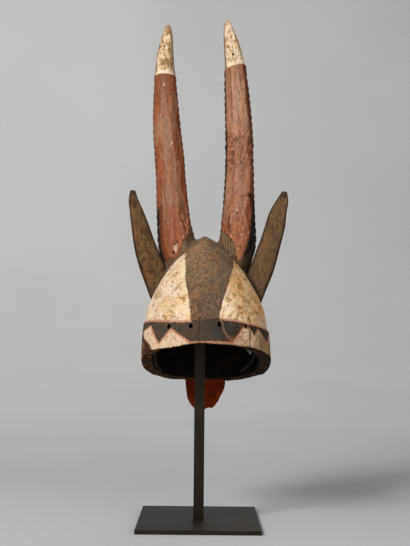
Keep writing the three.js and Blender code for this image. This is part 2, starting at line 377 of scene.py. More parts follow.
def horn_scoops(horn):
    """Each scoop's height and turn, its half length and half width, its depth, and its paint's tone."""
    draw = np.random.default_rng(horn["seed"])
    scoops = []
    for z in np.arange(236, horn["tip"] - 14, SCOOP_PITCH):
        place = (z + draw.uniform(-5, 5), draw.uniform(-1.25, 1.25))
        reach = (draw.uniform(22, 52), draw.uniform(0.2, 0.36))
        scoops.append((*place, *reach, draw.uniform(0.9, 2.3), draw.uniform(0, 1)))
    return scoops


def scooped(turn, z, horn):
    """How deep the scoops go at a place on a horn, with minus outside them, and the tone there."""
    deepest, tone = np.full(turn.shape, -1.0), np.full(turn.shape, 0.5)
    for height, middle, length, wide, depth, own_tone in horn_scoops(horn):
        here = depth * (1 - ((z - height) / length) ** 2 - ((turn - middle) / wide) ** 2)
        tone = np.where((here > deepest) & (here > 0), own_tone, tone)
        deepest = np.maximum(deepest, here)
    return deepest, tone


def stepped(turn, z, step):
    """A cut that starts at a sharp edge and runs out downwards."""
    low, high = step["turns"]
    across = ease(turn, low, low + 0.5) * ease(-turn, -high, 0.12 - high)
    down = (step["top"] - z) / step["length"]
    return step["depth"] * across * np.where(down > 0, np.clip(1 - down, 0, 1), 0)


print("scoops:", {name: len(horn_scoops(horn)) for name, horn in HORNS.items()})


# %% A horn's section and its rings
def horn_section(turn, z, radius, horn):
    """The reach from the centre line: a circle, cut flat in front and ringed behind."""
    drift = cut_drift(z, horn)
    reach = radius + 0 * turn
    for number, (direction, share) in enumerate(CUTS):
        facing = np.cos(turn - direction - drift)
        stroke = 1 - np.abs(np.sin(np.pi * (z / CUT_LENGTH + 0.37 * number + horn["seed"])))
        flat = (radius * share + 1.1 * stroke**2) / np.maximum(facing, 0.05)
        reach = np.minimum(reach, np.where(facing > 0.3, flat, reach))
    behind = ease(-np.cos(turn), -0.42, 0.12)
    on_rings = ease(z, RING_FROM - 14, RING_FROM) * ease(-z, -horn["tip"] + 4, -horn["tip"] + 14)
    notch = (1 - np.abs(np.sin(np.pi * (z - RING_FROM) / RING_PITCH))) ** 1.6
    uneven = 0.75 + 0.35 * rough(np.stack([z / 14, np.cos(turn) + horn["seed"], np.sin(turn)], -1), 1)
    below_tip = ease(-z, 3 - horn["tip"], 12 - horn["tip"])
    hollows = np.maximum(scooped(turn, z, horn)[0], 0) * below_tip + stepped(turn, z, horn["step"])
    return reach - RING_DEPTH * notch * behind * on_rings * uneven - hollows


def horn_rings(horn):
    centre, along, radius = horn_lines(horn)
    foot, top, tip = horn["z"][0], horn["z"][-1], horn["tip"]
    turn = full_turn(HORN_AROUND)
    lean, drop = horn["ledge"]
    edge = lean * np.sin(turn) - drop * (1 - np.cos(turn))
    body = np.arange(foot, tip - 14, HORN_ROW)
    ledge = [-13, -10, -7, -4.5, -2.5, -1.2, -0.4, 0.2, 0.9, 2, 4, 7]
    point = tip + 8 + (top - tip - 8) * (1 - (1 - np.linspace(0, 1, 46)) ** 1.35)
    rings = []
    for z in np.concatenate([body, tip + np.array(ledge), point]):
        near = 1 - ease(abs(z - tip), 12, 40)
        heights = z + edge * near
        side, rear = cross_axes(along(heights))
        flat_z = np.minimum(z, tip - 0.2) if z < tip else z
        reach = horn_section(turn, heights, radius(flat_z + 0 * turn), horn)[:, None]
        across = side * np.sin(turn)[:, None] - rear * np.cos(turn)[:, None]
        rings.append(centre(heights) + reach * across)
    return np.array(rings)


# %% A fillet at the foot
def spread_foot(rings, tree, reach):
    """Moves points outward where they come near another body, for a fillet at the join."""
    middles = rings.mean(1, keepdims=True)
    outward = rings - middles
    outward /= np.maximum(np.linalg.norm(outward, axis=2, keepdims=True), 1e-6)
    moved = rings.copy()
    for i, j in np.ndindex(rings.shape[:2]):
        spot, normal, _, gap = tree.find_nearest(Vector(rings[i, j]), reach * 3)
        if spot is None:
            continue
        normal = np.array(normal)
        height = float((rings[i, j] - np.array(spot)) @ normal)
        if height > reach:
            continue
        depth = 1 - max(height, 0) / reach
        fillet = reach * (1 - math.sqrt(max(0, 1 - depth * depth)))
        facing = max(0.0, float(normal @ outward[i, j]))
        under = ease(height, -reach * 0.9, -1.0)
        moved[i, j] += outward[i, j] * fillet * (1 - facing) * under
    return moved


# %% [markdown]
# ## The ears and the flap
# The ears are lance-shaped slabs, rounder behind than in front, with a blunt cut tip. The flap is a thick
# tongue that hangs from the back of the rim. Both are lofts too, so that they join the helmet in the same
# way.

# %% The ears' and the flap's rings
EARS = {
    "left": {
        "outer": [-104, -123, -136.5, -146, -152, -156.5, -160.5, -163, -160.5],
        "inner": [-62, -71, -81, -95.5, -108.5, -119.5, -132, -143, -149.5],
    },
    "right": {
        "outer": [104, 123, 137, 145.5, 153.5, 160.5, 164, 167.5, 165],
        "inner": [64, 74, 84.5, 97, 108.5, 118.5, 128.5, 142.5, 154],
    },
}
EAR_HEIGHTS = [112, 160, 195, 225, 255, 285, 315, 340, 358]
EAR_BACK = [14, 3.8, -4.2, -11.3, -17.7, -23.9, -29.4, -34, -37]
EAR_THICK = [15, 13.5, 12.5, 11.5, 10.5, 9.5, 8, 6, 4]
EAR_AROUND = 56
EAR_ROWS = 96
FLAP_HEIGHTS = [-64, -63.4, -60.5, -56, -50, -27.5, 0, 26]
FLAP_WIDTHS = [7, 13.5, 19.5, 24.5, 29, 37.1, 41.5, 41.5]
FLAP_AROUND = 60
FLAP_HALF_THICK = 6.5
FOOT_FILLET = 9


def ear_rings(shape):
    outer, inner = curve(EAR_HEIGHTS, shape["outer"]), curve(EAR_HEIGHTS, shape["inner"])
    back, thick = curve(EAR_HEIGHTS, EAR_BACK), curve(EAR_HEIGHTS, EAR_THICK)
    turn = full_turn(EAR_AROUND)
    rings = []
    for z in np.linspace(EAR_HEIGHTS[0], EAR_HEIGHTS[-1], EAR_ROWS):
        width = abs(outer(z) - inner(z)) / 2
        facing = np.cos(turn) > 0
        x = (outer(z) + inner(z)) / 2 + width * signed_power(np.sin(turn), 0.94)
        y = back(z) - thick(z) * np.where(facing, 0.62, 1.0) * signed_power(np.cos(turn), 0.86)
        rings.append(np.stack([x, y, z + 0 * turn], -1))
    return np.array(rings)


def flap_rings():
    width = curve(FLAP_HEIGHTS, FLAP_WIDTHS)
    turn = full_turn(FLAP_AROUND)
    rings = []
    for z in np.concatenate([[-64, -63.8, -63.2, -62.2], np.linspace(-60.5, 24, 34)]):
        thick = FLAP_HALF_THICK
        if z < -50:
            thick = min(thick, thick * keep((-z - 50) / 14, 2.5, 2) + 0.6)
        x = -2 + width(z) * signed_power(np.sin(turn), 0.42)
        y = 126.5 - 3.5 * ease(z, -4, 6) - thick * signed_power(np.cos(turn), 0.42)
        rings.append(np.stack([x, y, z + 0 * turn], -1))
    return np.array(rings)


# %% Every loft
parts = {"helmet": (helmet_points, helmet_faces), "hollow": (hollow_points, hollow_faces)}
for name, horn in HORNS.items():
    parts["horn_" + name] = loft(spread_foot(horn_rings(horn), helmet_tree, FOOT_FILLET))
for name, shape in EARS.items():
    parts["ear_" + name] = loft(spread_foot(ear_rings(shape), helmet_tree, FOOT_FILLET))
parts["flap"] = loft(flap_rings())
for name, (points, faces) in parts.items():
    print(name, len(faces), "faces")

# %% [markdown]
# ## One block of wood
# A union modifier melts the lofts into one skin, and a difference takes the hollow out, as the carver did.
# A vertex's distances to the lofts then tell which of them it lies on, which the paint needs later. Where
# two lofts meet, the vertices are relaxed towards their neighbours, so that the join reads as carved and
# not as cut with a wire.

# %% Helpers that change a whole mesh
def cut_or_join(body, tools, operation):
    for tool in tools:
        modifier = body.modifiers.new(operation.lower(), "BOOLEAN")
        modifier.operation = operation
        modifier.solver = "MANIFOLD"
        modifier.object = tool
    shown = body.evaluated_get(bpy.context.evaluated_depsgraph_get())
    made = bpy.data.meshes.new_from_object(shown)
    body.modifiers.clear()
    body.data = made
    for tool in tools:
        bpy.data.objects.remove(tool)


def read_rows(items, key, width, kind=np.float32):
    flat = np.zeros(len(items) * width, kind)
    items.foreach_get(key, flat)
    return flat.reshape(-1, width)


def coordinates(mesh):
    return read_rows(mesh.vertices, "co", 3).astype(float)


def set_coordinates(mesh, points):
    mesh.vertices.foreach_set("co", points.astype(np.float32).ravel())
    mesh.update()


def relax(points, edges, weight, rounds):
    """Moves each vertex towards the middle of its neighbours, by its own weight."""
    count = np.bincount(edges.ravel(), minlength=len(points))[:, None]
    for _ in range(rounds):
        total = np.zeros_like(points)
        np.add.at(total, edges[:, 0], points[edges[:, 1]])
        np.add.at(total, edges[:, 1], points[edges[:, 0]])
        points = points + weight[:, None] * (total / np.maximum(count, 1) - points)
    return points


# %% Join the lofts and take the hollow out
made = {name: add_mesh(name, *part) for name, part in parts.items()}
block = made.pop("helmet")
hollow = made.pop("hollow")
cut_or_join(block, list(made.values()), "UNION")
cut_or_join(block, [hollow], "DIFFERENCE")
print("joined:", len(block.data.vertices), "vertices,", len(block.data.polygons), "faces")

# %% Relax the joins
carved = coordinates(block.data)
trees = {name: BVHTree.FromPolygons(p.tolist(), f) for name, (p, f) in parts.items()}


def gaps(points):
    """How far points are from each loft's skin, and from the second nearest of the outer ones."""
    gap = {}
    for name, tree in trees.items():
        gap[name] = np.array([tree.find_nearest(Vector(p))[3] for p in points])
    return gap, np.sort([gap[name] for name in parts if name != "hollow"], axis=0)[1]


gap, second = gaps(carved)
at_join = (1 - ease(second, 1.5, 6.0)) * (gap["hollow"] > 2)
carved = relax(carved, read_rows(block.data.edges, "vertices", 2, np.int32), 0.5 * at_join, 10)
print("relaxed", int((at_join > 0).sum()), "vertices at the joins")

# %% [markdown]
# ## Tool marks, a broken corner and the holes
# No carved surface is true. Wide soft hollows come from the adze, and narrow ones run up the grain. The
# left front corner of the rim is broken away. Moving each vertex along its normal gives the marks real
# depth, so that they show in the outline too. The four holes in the band are drilled after that, so that
# they stay round.

# %% Which part each vertex belongs to
x, y, z = carved.T
is_horn = {side: gap["horn_" + side] < np.minimum(gap["helmet"], gap["ear_" + side]) for side in HORNS}
is_ear = {side: gap["ear_" + side] < np.minimum(gap["helmet"], gap["horn_" + side]) for side in EARS}
is_inside = gap["hollow"] < np.minimum(gap["helmet"], 0.5)


def helmet_turn(points):
    """The turn round the helmet that a point near its wall stands at."""
    z = np.clip(points[:, 2], 0, 262)
    half_width, front, back = helmet_reaches(z, 0)
    guess = np.arctan2(points[:, 0], -points[:, 1])
    power = helmet_power(guess, z) / 2
    reach = np.where(points[:, 1] < 0, front, back)
    sine = signed_power((points[:, 0] - HELMET["lean"] * z) / half_width, power)
    cosine = signed_power(-points[:, 1] / reach, power)
    return np.arctan2(sine, cosine)


arc = arc_of(helmet_turn(carved))
print("arc from", round(arc.min()), "to", round(arc.max()), "mm")

# %% Carve
BREAK_LINE = (
    [-190, -176, -164, -152, -137, -126, -119.5, -114, -113],
    [58, 54, 44, 31, 21, 11.5, 4, -3, -20],
)
ADZE_FACET = 26
ADZE_DEPTH = 3.2
mesh = block.data
set_coordinates(mesh, carved)
normals = read_rows(mesh.vertices, "normal", 3).astype(float)

grainwise = carved * (1, 1, 0.3)
wide = rough(carved, 38, 1)
narrow = rough(grainwise, 9, 2)
fine = rough(grainwise, 4.5, 3)
on_horn = np.maximum(is_horn["left"], is_horn["right"]) * ease(gap["helmet"], 0, 12)
on_ear = np.maximum(is_ear["left"] * 1.0, is_ear["right"] * 1.0)
depth = 0.7 * wide + 0.28 * narrow + 0.12 * fine
gouges = rough(carved * (1, 1, 0.11), 6.5, 9)
crumbs = rough(carved * (1, 1, 0.4), 5.5, 10)
rough_low = ease(-z, -365, -310) * ease(z, 215, 240) * ease(np.where(x < 0, x + 56, 40), 0, 12)
rough_high = ease(z, 400, 425) * ease(-z, -500, -475) * (x > 0)
crusty = np.maximum(rough_low, rough_high) * ease(-y, 8, 30)
horn_marks = 0.65 * gouges + 0.2 * fine + 3.0 * crusty * np.maximum(crumbs, -0.12)
facets = np.array([noise.voronoi(Vector(p))[0][0] for p in carved * (1, 1, 0.7) / ADZE_FACET])
behind_face = ease(y, -5, 45) * ease(-z, -235, -190)
depth = depth + ADZE_DEPTH * behind_face * (facets**2 - 0.25)
depth = between(depth, 0.25 * wide + horn_marks, on_horn)
depth = between(depth, 0.3 * wide + 0.22 * narrow + 0.1 * fine, on_ear)
depth = np.where(is_inside, 1.5 * rough(carved * (1, 1, 0.5), 24, 5) + 0.4 * narrow, depth)
under_break = np.interp(arc, *BREAK_LINE) - z
corner = ease(under_break + 3 * rough(carved, 6, 7), -0.5, 1.5) * ease(arc, -186, -168) * (~is_inside)
chip = corner * (1.2 + 3.4 * ease(under_break, 4, 22)) * (0.85 + 0.3 * rough(carved, 7, 8))
carved = carved + normals * (depth * 0.9 - chip)[:, None]
set_coordinates(mesh, carved)
raised = mesh.attributes.new("raised", "FLOAT", "POINT")
raised.data.foreach_set("value", (on_horn * horn_marks).astype(np.float32))
print("carved up to", round(float(np.abs(depth).max()), 2), "mm deep")

# %% Drill the four holes in the band
BAND_HOLES = [(-31.8, 37), (-12.8, 33.5), (10.6, 37), (33.6, 39)]
HOLE_RADIUS = 3.7
HOLE_TALL = 1.3


def drill(angle, height):
    turn = full_turn(20)
    wobble = HOLE_RADIUS * (1 + 0.08 * np.sin(2 * turn + angle))
    rings = []
    for reach in np.linspace(70, 150, 14):
        upright = HOLE_TALL * wobble * np.sin(turn) + height
        rings.append(np.stack([wobble * np.cos(turn), 0 * turn - reach, upright], -1))
    points, faces = loft(np.array(rings))
    a = math.radians(angle)
    spin = np.array([[math.cos(a), -math.sin(a), 0], [math.sin(a), math.cos(a), 0], [0, 0, 1]])
    return add_mesh("drill", points @ spin.T, faces)


cut_or_join(block, [drill(*hole) for hole in BAND_HOLES], "DIFFERENCE")
print("drilled:", len(block.data.vertices), "vertices")

# %% Peg holes and knots in the horns and the ears
PITS = [
    ((-65.1, -32.5, 240.2), 1.9), ((-67.9, -30.6, 223.3), 2.3), ((60.7, -65.7, 463.5), 1.5),
    ((61.0, -39.2, 309.0), 1.7), ((51.4, -109.0, 646.1), 2.3), ((-93.7, -113.0, 661.9), 1.6),
    ((-133.5, -26.8, 268.8), 1.7), ((-150.5, -32.0, 322.0), 1.4), ((158.4, -38.8, 347.0), 1.6),
    ((140.0, -28.0, 262.0), 1.3), ((61.5, -32.5, 218.0), 1.8),
]
PIT_DEPTH = 7


def pit(place, radius):
    """A short tapered plug that starts in front of the wood and ends inside it."""
    turn = full_turn(14)
    rings = []
    for step in (-6, -1, 2, PIT_DEPTH):
        wide = radius * (1.25 if step < 0 else 1.1 - 0.5 * step / PIT_DEPTH)
        ring = np.stack([wide * np.cos(turn), step + 0 * turn, 1.15 * wide * np.sin(turn)], -1)
        rings.append(ring + np.array(place))
    return add_mesh("pit", *loft(np.array(rings)))


# The plugs' rings run the other way round from the drill's, so their skins face inwards. The cut leaves
# the wood's surface closed over them, with a second skin on it, and painted shade makes the holes dark.
cut_or_join(block, [pit(*each) for each in PITS], "DIFFERENCE")
print("pitted:", len(block.data.vertices), "vertices")

# %% Cut the drying cracks
CRACKS = {
    "face": {"z": [-3, 20, 45, 70, 97], "x": [-13, -14.5, -13.5, -15, -13.8], "wide": 0.9, "deep": 4.5},
    "right": {"z": [-3, 23, 40, 58], "x": [82, 81, 77.5, 74], "wide": 0.8, "deep": 3.5},
    "low": {"z": [-3, 6, 15], "x": [-32, -31, -31.5], "wide": 0.7, "deep": 3},
}


def crack_blade(crack):
    """A thin wedge that follows the wall from below the rim and runs out to nothing at its top."""
    line = curve(crack["z"], crack["x"])
    heights = np.arange(crack["z"][0], crack["z"][-1], 2.2)
    rings = []
    for z in heights:
        x = float(line(z)) + 0.5 * noise.noise(Vector((z / 5, crack["wide"], 0)))
        wall = helmet_wall(FINE_TURNS, np.full(FINE_TURNS.shape, max(z, 0.5)), 0)
        facing = np.abs(FINE_TURNS) < math.pi / 2
        y = float(np.interp(x, wall[facing, 0], wall[facing, 1]))
        left = 1 - ease(z, crack["z"][-1] - 25, crack["z"][-1])
        wide, deep = crack["wide"] * (0.25 + 0.75 * left), crack["deep"] * (0.15 + 0.85 * left)
        corners = [(x - wide, y - 3), (x + wide, y - 3), (x + 0.1, y + deep), (x - 0.1, y + deep)]
        rings.append([(a, b, z) for a, b in corners])
    return add_mesh("crack", *loft(np.array(rings)))


cut_or_join(block, [crack_blade(crack) for crack in CRACKS.values()], "DIFFERENCE")
print("cracked:", len(block.data.vertices), "vertices")

# %% [markdown]
# ## What the painter needs to know
# The paint follows lines on the wood: the zigzag round the rim, the edges of the pale cheeks and the fronts
# of the horns. Each vertex gets some twenty numbers, such as its distance from the zigzag, and the shader
# turns them into crisp or ragged edges. A distance fades smoothly, so an edge stays sharp between the
# vertices.

# %% Measure every vertex against the painted lines
points = coordinates(block.data)
gap, second = gaps(points)
x, y, z = points.T
turn = helmet_turn(points)
arc = arc_of(turn)
band = z - band_top(arc)

ZIGZAG = [
    (-460, 6), (-436, 45), (-407, 6), (-378, 48), (-349, 5), (-320, 50), (-291, 6), (-262, 50), (-233, 6),
    (-212, 52), (-190, 4), (-174, 4), (-164, 49), (-124, 50), (-96, 5.5), (-68, 31), (-31, 1.5), (32, 1.5),
    (49, 2), (71, 33), (80, 44), (99, 23.5), (112, 41), (124, 31), (148, 20), (163, 46), (190, 6),
    (219, 46), (248, 5), (277, 48), (306, 6), (335, 47), (364, 6), (393, 45), (424, 6), (460, 40),
]


def distance_to_line(corners, a, b):
    """How far points (a, b) are from a line through corners, plus above it and minus below."""
    corners = np.array(corners, float)
    nearest = np.full(a.shape, 1e6)
    for (a0, b0), (a1, b1) in zip(corners[:-1], corners[1:]):
        run, climb = a1 - a0, b1 - b0
        along = np.clip(((a - a0) * run + (b - b0) * climb) / (run**2 + climb**2), 0, 1)
        nearest = np.minimum(nearest, np.hypot(a - a0 - along * run, b - b0 - along * climb))
    return nearest * np.sign(b - np.interp(a, corners[:, 0], corners[:, 1]))


zigzag = distance_to_line(ZIGZAG, arc, z)
under_break = np.where(arc < -112, np.interp(arc, *BREAK_LINE) - z, -30) * ease(arc, -190, -176)
under_break = np.where(arc < -178, -30, under_break)
print("zigzag from", round(zigzag.min()), "to", round(zigzag.max()), "mm")

# %% The rim's worn edge and the stroke beside the middle
STROKE = [(30.2, 46), (31, 39), (33.5, 24), (39, 14), (49.6, 6)]
edge = z + np.maximum(rim_drop(arc), 0)
outer_wall = helmet_wall(turn, np.clip(z, 0.5, 200), 0)
inset = np.hypot(outer_wall[:, 0], outer_wall[:, 1]) - np.hypot(x, y)
stroke = np.abs(distance_to_line(STROKE, arc, z))
print("wall seen from below: up to", round(float(inset[(z < 2) & (z > -8)].max())), "mm")

# %% The edges of the pale cheeks
CHEEK_LEFT_IN = curve(
    [-20, 50, 75, 101, 138, 162, 186, 215, 260],
    [-28, -28.5, -32, -35, -41, -41, -42, -42, -42],
)
CHEEK_RIGHT_IN = curve(
    [-20, 50, 78, 102, 128, 155, 188, 221, 260],
    [23, 23.5, 28.8, 34.3, 40.7, 46.8, 53.7, 50.5, 50],
)
CHEEK_BACK = math.radians(97)
TOP_LEFT = ([0, 42, 58, 74.5, 100, 130], [219, 215, 210, 199, 176, 150])
TOP_RIGHT = ([0, 47, 50.5, 62.6, 74.7, 86.6, 99, 130], [232, 230, 223, 198, 181, 160, 144, 119])

from_middle = np.abs(x)
upper = np.where(x < 0, np.interp(from_middle, *TOP_LEFT), np.interp(from_middle, *TOP_RIGHT))
upper = np.where(y > -25, np.minimum(upper, 172 + 0 * upper), upper)
inner = np.where(x < 0, CHEEK_LEFT_IN(z) - x, x - CHEEK_RIGHT_IN(z))
behind = (CHEEK_BACK - np.abs(turn)) * 115
cheek = np.minimum(np.minimum(inner, (upper - z) * 0.8), behind)
print("on the cheeks:", int((cheek > 0).sum()), "vertices")

# %% The horns' own heights and turns
def horn_place(points, horn):
    """The height of points along a horn, and their turn round it from its front."""
    centre, along, _ = horn_lines(horn)
    height = np.clip(points[:, 2], horn["z"][0], horn["z"][-1])
    for _ in range(4):
        beyond = ((points - centre(height)) * along(height)).sum(1)
        height = np.clip(height + beyond * along(height)[:, 2], horn["z"][0], horn["z"][-1])
    offset = points - centre(height)
    side, rear = cross_axes(along(height))
    return height, np.arctan2((offset * side).sum(1), -(offset * rear).sum(1))


def by_side(read):
    """For every vertex, what is read from the horn on its own side."""
    return np.where(x < 0, read(HORNS["left"]), read(HORNS["right"]))


horn_height, horn_turn = (by_side(lambda horn: horn_place(points, horn)[i]) for i in range(2))
drift = by_side(lambda horn: cut_drift(horn_height, horn))
scoop, tone = (by_side(lambda horn: scooped(horn_turn, horn_height, horn)[i]) for i in range(2))
lean, drop = (by_side(lambda horn: horn["ledge"][i]) for i in range(2))
below_ledge = lean * np.sin(horn_turn) - drop * (1 - np.cos(horn_turn))
tip = horn_height - by_side(lambda horn: horn["tip"]) - below_ledge
print("past the ledges:", int((tip > 0).sum()), "vertices")

# %% How far every vertex is inside each part
crease = np.clip(second, 0, 40)
ear_edge = np.zeros(len(points))
for side_name, shape in EARS.items():
    outer, inner = curve(EAR_HEIGHTS, shape["outer"]), curve(EAR_HEIGHTS, shape["inner"])
    level = np.clip(z, EAR_HEIGHTS[0], EAR_HEIGHTS[-1])
    share = 2 * (x - inner(level)) / (outer(level) - inner(level)) - 1
    ear_edge = np.where((x < 0) == (side_name == "left"), share, ear_edge)
horn_gap = np.minimum(gap["horn_left"], gap["horn_right"])
ear_gap = np.minimum(gap["ear_left"], gap["ear_right"])
horn = np.clip(np.minimum(gap["helmet"], ear_gap) - horn_gap, -20, 20)
ear = np.clip(np.minimum(gap["helmet"], horn_gap) - ear_gap, -20, 20)
flap = np.clip(gap["helmet"] - gap["flap"], -20, 20)
inside = np.clip(np.minimum(gap["helmet"], gap["flap"]) - gap["hollow"], -20, 20)
for title, amount in (("horns", horn), ("ears", ear), ("flap", flap), ("hollow", inside)):
    print("on the", title + ":", int((amount > 0).sum()), "vertices")

# %% Spots where the paint has flaked to the white ground, and the pits
FLAKES = [
    ((-64, -32, 232), 3.6, 0.32), ((-74.9, -63.7, 456.1), 2.2, 0.7), ((-93, -92.7, 578.5), 2, 0.7),
    ((-50, -38, 236), 3.5, 0.45), ((71, -36, 262), 2.6, 0.8), ((84, -32, 268), 2.2, 0.8),
    ((75, -36, 246), 2.4, 0.9), ((60.5, -39, 313), 2.6, 0.4), ((47, -38, 216), 2.4, 0.8),
    ((55, -36, 221), 2.2, 0.9), ((78, -40, 364), 1.8, 0.4), ((44, -70, 560), 1.6, 0.6),
]


def beyond_spots(points, spots):
    """How far points are outside the nearest round spot. A third number squeezes a spot upright."""
    nearest = np.full(len(points), 30.0)
    for place, radius, squeeze in spots:
        away = np.linalg.norm((points - np.array(place)) * (1, 0.6, squeeze), axis=1)
        nearest = np.minimum(nearest, away - radius)
    return nearest


flake = beyond_spots(points, FLAKES)
pits = beyond_spots(points, [(place, radius, 0.9) for place, radius in PITS])
for angle, level in BAND_HOLES:
    way = np.array([math.sin(math.radians(angle)), -math.cos(math.radians(angle))])
    sideways = x * way[1] - y * way[0]
    from_axis = np.hypot(sideways, (z - level) / HOLE_TALL) - HOLE_RADIUS
    pits = np.where(x * way[0] + y * way[1] > 0, np.minimum(pits, from_axis), pits)
print("flaked:", int((flake < 0).sum()), "vertices, pitted:", int((pits < 0.5).sum()))

# %% Write the numbers on the mesh
NOTES = {
    "arc": arc,
    "band": band,
    "zigzag": zigzag,
    "cheek": cheek,
    "horn": horn,
    "horn_height": horn_height,
    "horn_front": np.cos(horn_turn - drift),
    "horn_side": np.sin(horn_turn - drift),
    "tip": tip,
    "ear": ear,
    "ear_edge": np.clip(ear_edge, -1.5, 1.5),
    "crease": crease,
    "break": under_break,
    "flap": flap,
    "inside": inside,
    "edge": edge,
    "inset": np.clip(inset, -5, 30),
    "stroke": np.clip(stroke, 0, 20),
    "scoop": np.clip(scoop, -1, 3),
    "tone": tone,
    "flake": flake,
    "pit": pits,
}
for name, values in NOTES.items():
    column = block.data.attributes.new(name, "FLOAT", "POINT")
    column.data.foreach_set("value", values.astype(np.float32))
kept = np.zeros(len(block.data.vertices), np.float32)
block.data.attributes["raised"].data.foreach_get("value", kept)
print("notes on the mesh:", ", ".join(NOTES), "and raised, up to", round(float(kept.max()), 1), "mm")

# %% Put the block on the stand
SHARP_ANGLE = 38


def finish_mesh(piece, points, low, high, sharp):
    """Turns a mesh into metres on the stand, keeps it in its box and smooths it except at sharp edges."""
    turned = np.array(TO_STAND)
    points = points @ turned[:3, :3].T + turned[:3, 3]
    points = np.clip(points, np.array(low) + 1e-5, np.array(high) - 1e-5)
    set_coordinates(piece.data, points)
    piece.data.shade_smooth()
    piece.data.set_sharp_from_angle(angle=math.radians(sharp))


finish_mesh(block, points, mask_low, mask_high, SHARP_ANGLE)
block.name = "mask_wood"
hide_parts("mask")
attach(block, "root")
print("the wood:", len(block.data.polygons), "faces")

# %% [markdown]
# ## Shader maths in Python
# A material is a graph of sockets. Wrapping a socket in a small class lets an expression such as `1 - worn
# * 0.5` add its own Math nodes, so that a finish reads like a recipe.

# %% The Signal class
class Signal:
    """One output socket of a shader tree. Arithmetic on it adds Math nodes."""

    def __init__(self, tree, socket=None):
        self.tree = tree
        self.socket = socket

    def node(self, kind, settings=None, values=None, output=0):
        """Adds a node, sets its settings and then its sockets, and returns one output as a Signal."""
        made = self.tree.nodes.new("ShaderNode" + kind)
        for name, value in (settings or {}).items():
            setattr(made, name, value)
        for name, value in (values or {}).items():
            if isinstance(value, Signal):
                self.tree.links.new(value.socket, made.inputs[name])
            else:
                made.inputs[name].default_value = value
        return Signal(self.tree, made.outputs[output])

    def math(self, operation, *values):
        return self.node("Math", {"operation": operation}, dict(enumerate(values)))

    def __add__(self, other):
        return self.math("ADD", self, other)

    def __radd__(self, other):
        return self.math("ADD", other, self)

    def __sub__(self, other):
        return self.math("SUBTRACT", self, other)

    def __rsub__(self, other):
        return self.math("SUBTRACT", other, self)

    def __mul__(self, other):
        return self.math("MULTIPLY", self, other)

    def __rmul__(self, other):
        return self.math("MULTIPLY", other, self)

    def __abs__(self):
        return self.math("ABSOLUTE", self)

    def higher(self, other):
        return self.math("MAXIMUM", self, other)

    def rise(self, low, high):
        """0 below low, 1 above high, smooth between. With low above high it falls instead."""
        return self.node(
            "MapRange",
            {"interpolation_type": "SMOOTHSTEP"},
            {"Value": self, "From Min": low, "From Max": high},
        )


# %% Helpers that every finish uses
def start_finish(name):
    """A new material, its shader, and a bare Signal that new nodes start from."""
    material = bpy.data.materials.new(name)
    material.use_nodes = True
    tree = material.node_tree
    return material, tree.nodes["Principled BSDF"], Signal(tree)


# %% Layers and coats of colour
def as_socket(value):
    return value if isinstance(value, Signal) else (*value, 1)


def layer(below, mask, above):
    """Paints one colour over another where the mask is 1."""
    colours = {0: mask, 6: as_socket(below), 7: as_socket(above)}
    return mask.node("Mix", {"data_type": "RGBA"}, colours, output=2)


def coats(colour, *upper):
    """Lays coats over a first colour, one after another, each with the mask that it shows through."""
    for mask, above in upper:
        colour = layer(colour, mask, above)
    return colour


# %% Places, noise and relief
def stretch(place, by):
    return place.node("VectorMath", {"operation": "MULTIPLY"}, {0: place, 1: by})


def move(place, by):
    return place.node("VectorMath", {"operation": "ADD"}, {0: place, 1: by})


def cloud(place, size, detail=2.0, roughness=0.5, distortion=0.0):
    """Noise between 0 and 1 with bumps of about that size in the units of place."""
    values = {"Vector": place, "Scale": 1 / size, "Detail": detail, "Roughness": roughness}
    return place.node("TexNoise", None, {**values, "Distortion": distortion})


def connect(shader, sockets):
    for name, value in sockets.items():
        if isinstance(value, Signal):
            value.tree.links.new(value.socket, shader.inputs[name])
        else:
            shader.inputs[name].default_value = value


def finish_with(piece, finish):
    piece.data.materials.clear()
    piece.data.materials.append(finish)


def bump(source, height):
    """Turns a height in millimetres into a bent normal."""
    return source.node("Bump", None, {"Strength": 1.0, "Distance": MM, "Height": height})


# %% [markdown]
# ## The painted wood
# The maker's paint is earth and ash in a weak binder, so it is dry, uneven and flaked. The finish is built
# as the mask was: first bare dark wood with its grain, then each painted field over it, then the wear. All
# sizes are in millimetres in the mask's own frame, and a mapping node turns the place on the stand into
# that frame.

# %% The place on the mask, and the notes
wood, wood_shader, start = start_finish("painted_wood")
on_object = start.node("TexCoord", output="Object")
place = start.node(
    "Mapping",
    {"vector_type": "TEXTURE"},
    {"Vector": on_object, "Location": RIM_CENTRE, "Rotation": (-TIP_BACK, 0, 0), "Scale": (MM, MM, MM)},
)
side, deep, height = (start.node("SeparateXYZ", None, {0: place}, output=i) for i in range(3))
names = [*NOTES, "raised"]
note = {name: start.node("Attribute", {"attribute_name": name}, output="Fac") for name in names}
print("the paint reads", len(note), "notes")


# %% Noises that several finishes share
def streaks(squeeze, *shape):
    """Noise that is drawn out along the mask's height, the more the smaller the squeeze is."""
    return cloud(stretch(place, (1, 1, squeeze)), *shape)


warp = cloud(place, 9, 3) - 0.5
small_warp = cloud(place, 2.6, 2) - 0.5
patches = cloud(place, 46, 3, 0.55)
blots = cloud(move(place, (90, 0, 0)), 16, 4, 0.6)
specks = cloud(place, 3.2, 3, 0.6)
dust = cloud(place, 1.1, 2, 0.6)
grain = streaks(0.09, 2.6, 4, 0.62, 0.4)
fine_grain = streaks(0.16, 0.9, 3, 0.6)
mirrored = place.node("CombineXYZ", None, {0: abs(side), 1: deep, 2: height})
leaned = place.node(
    "Mapping", {"vector_type": "POINT"}, {"Vector": mirrored, "Rotation": (0, math.radians(-30), 0)}
)
leaned = move(leaned, (37, 0, 11))
long_scratch = cloud(stretch(leaned, (1, 1, 0.12)), 3.3, 4, 0.68)
right_side = side.rise(-15, 15)
left_side = 1 - right_side


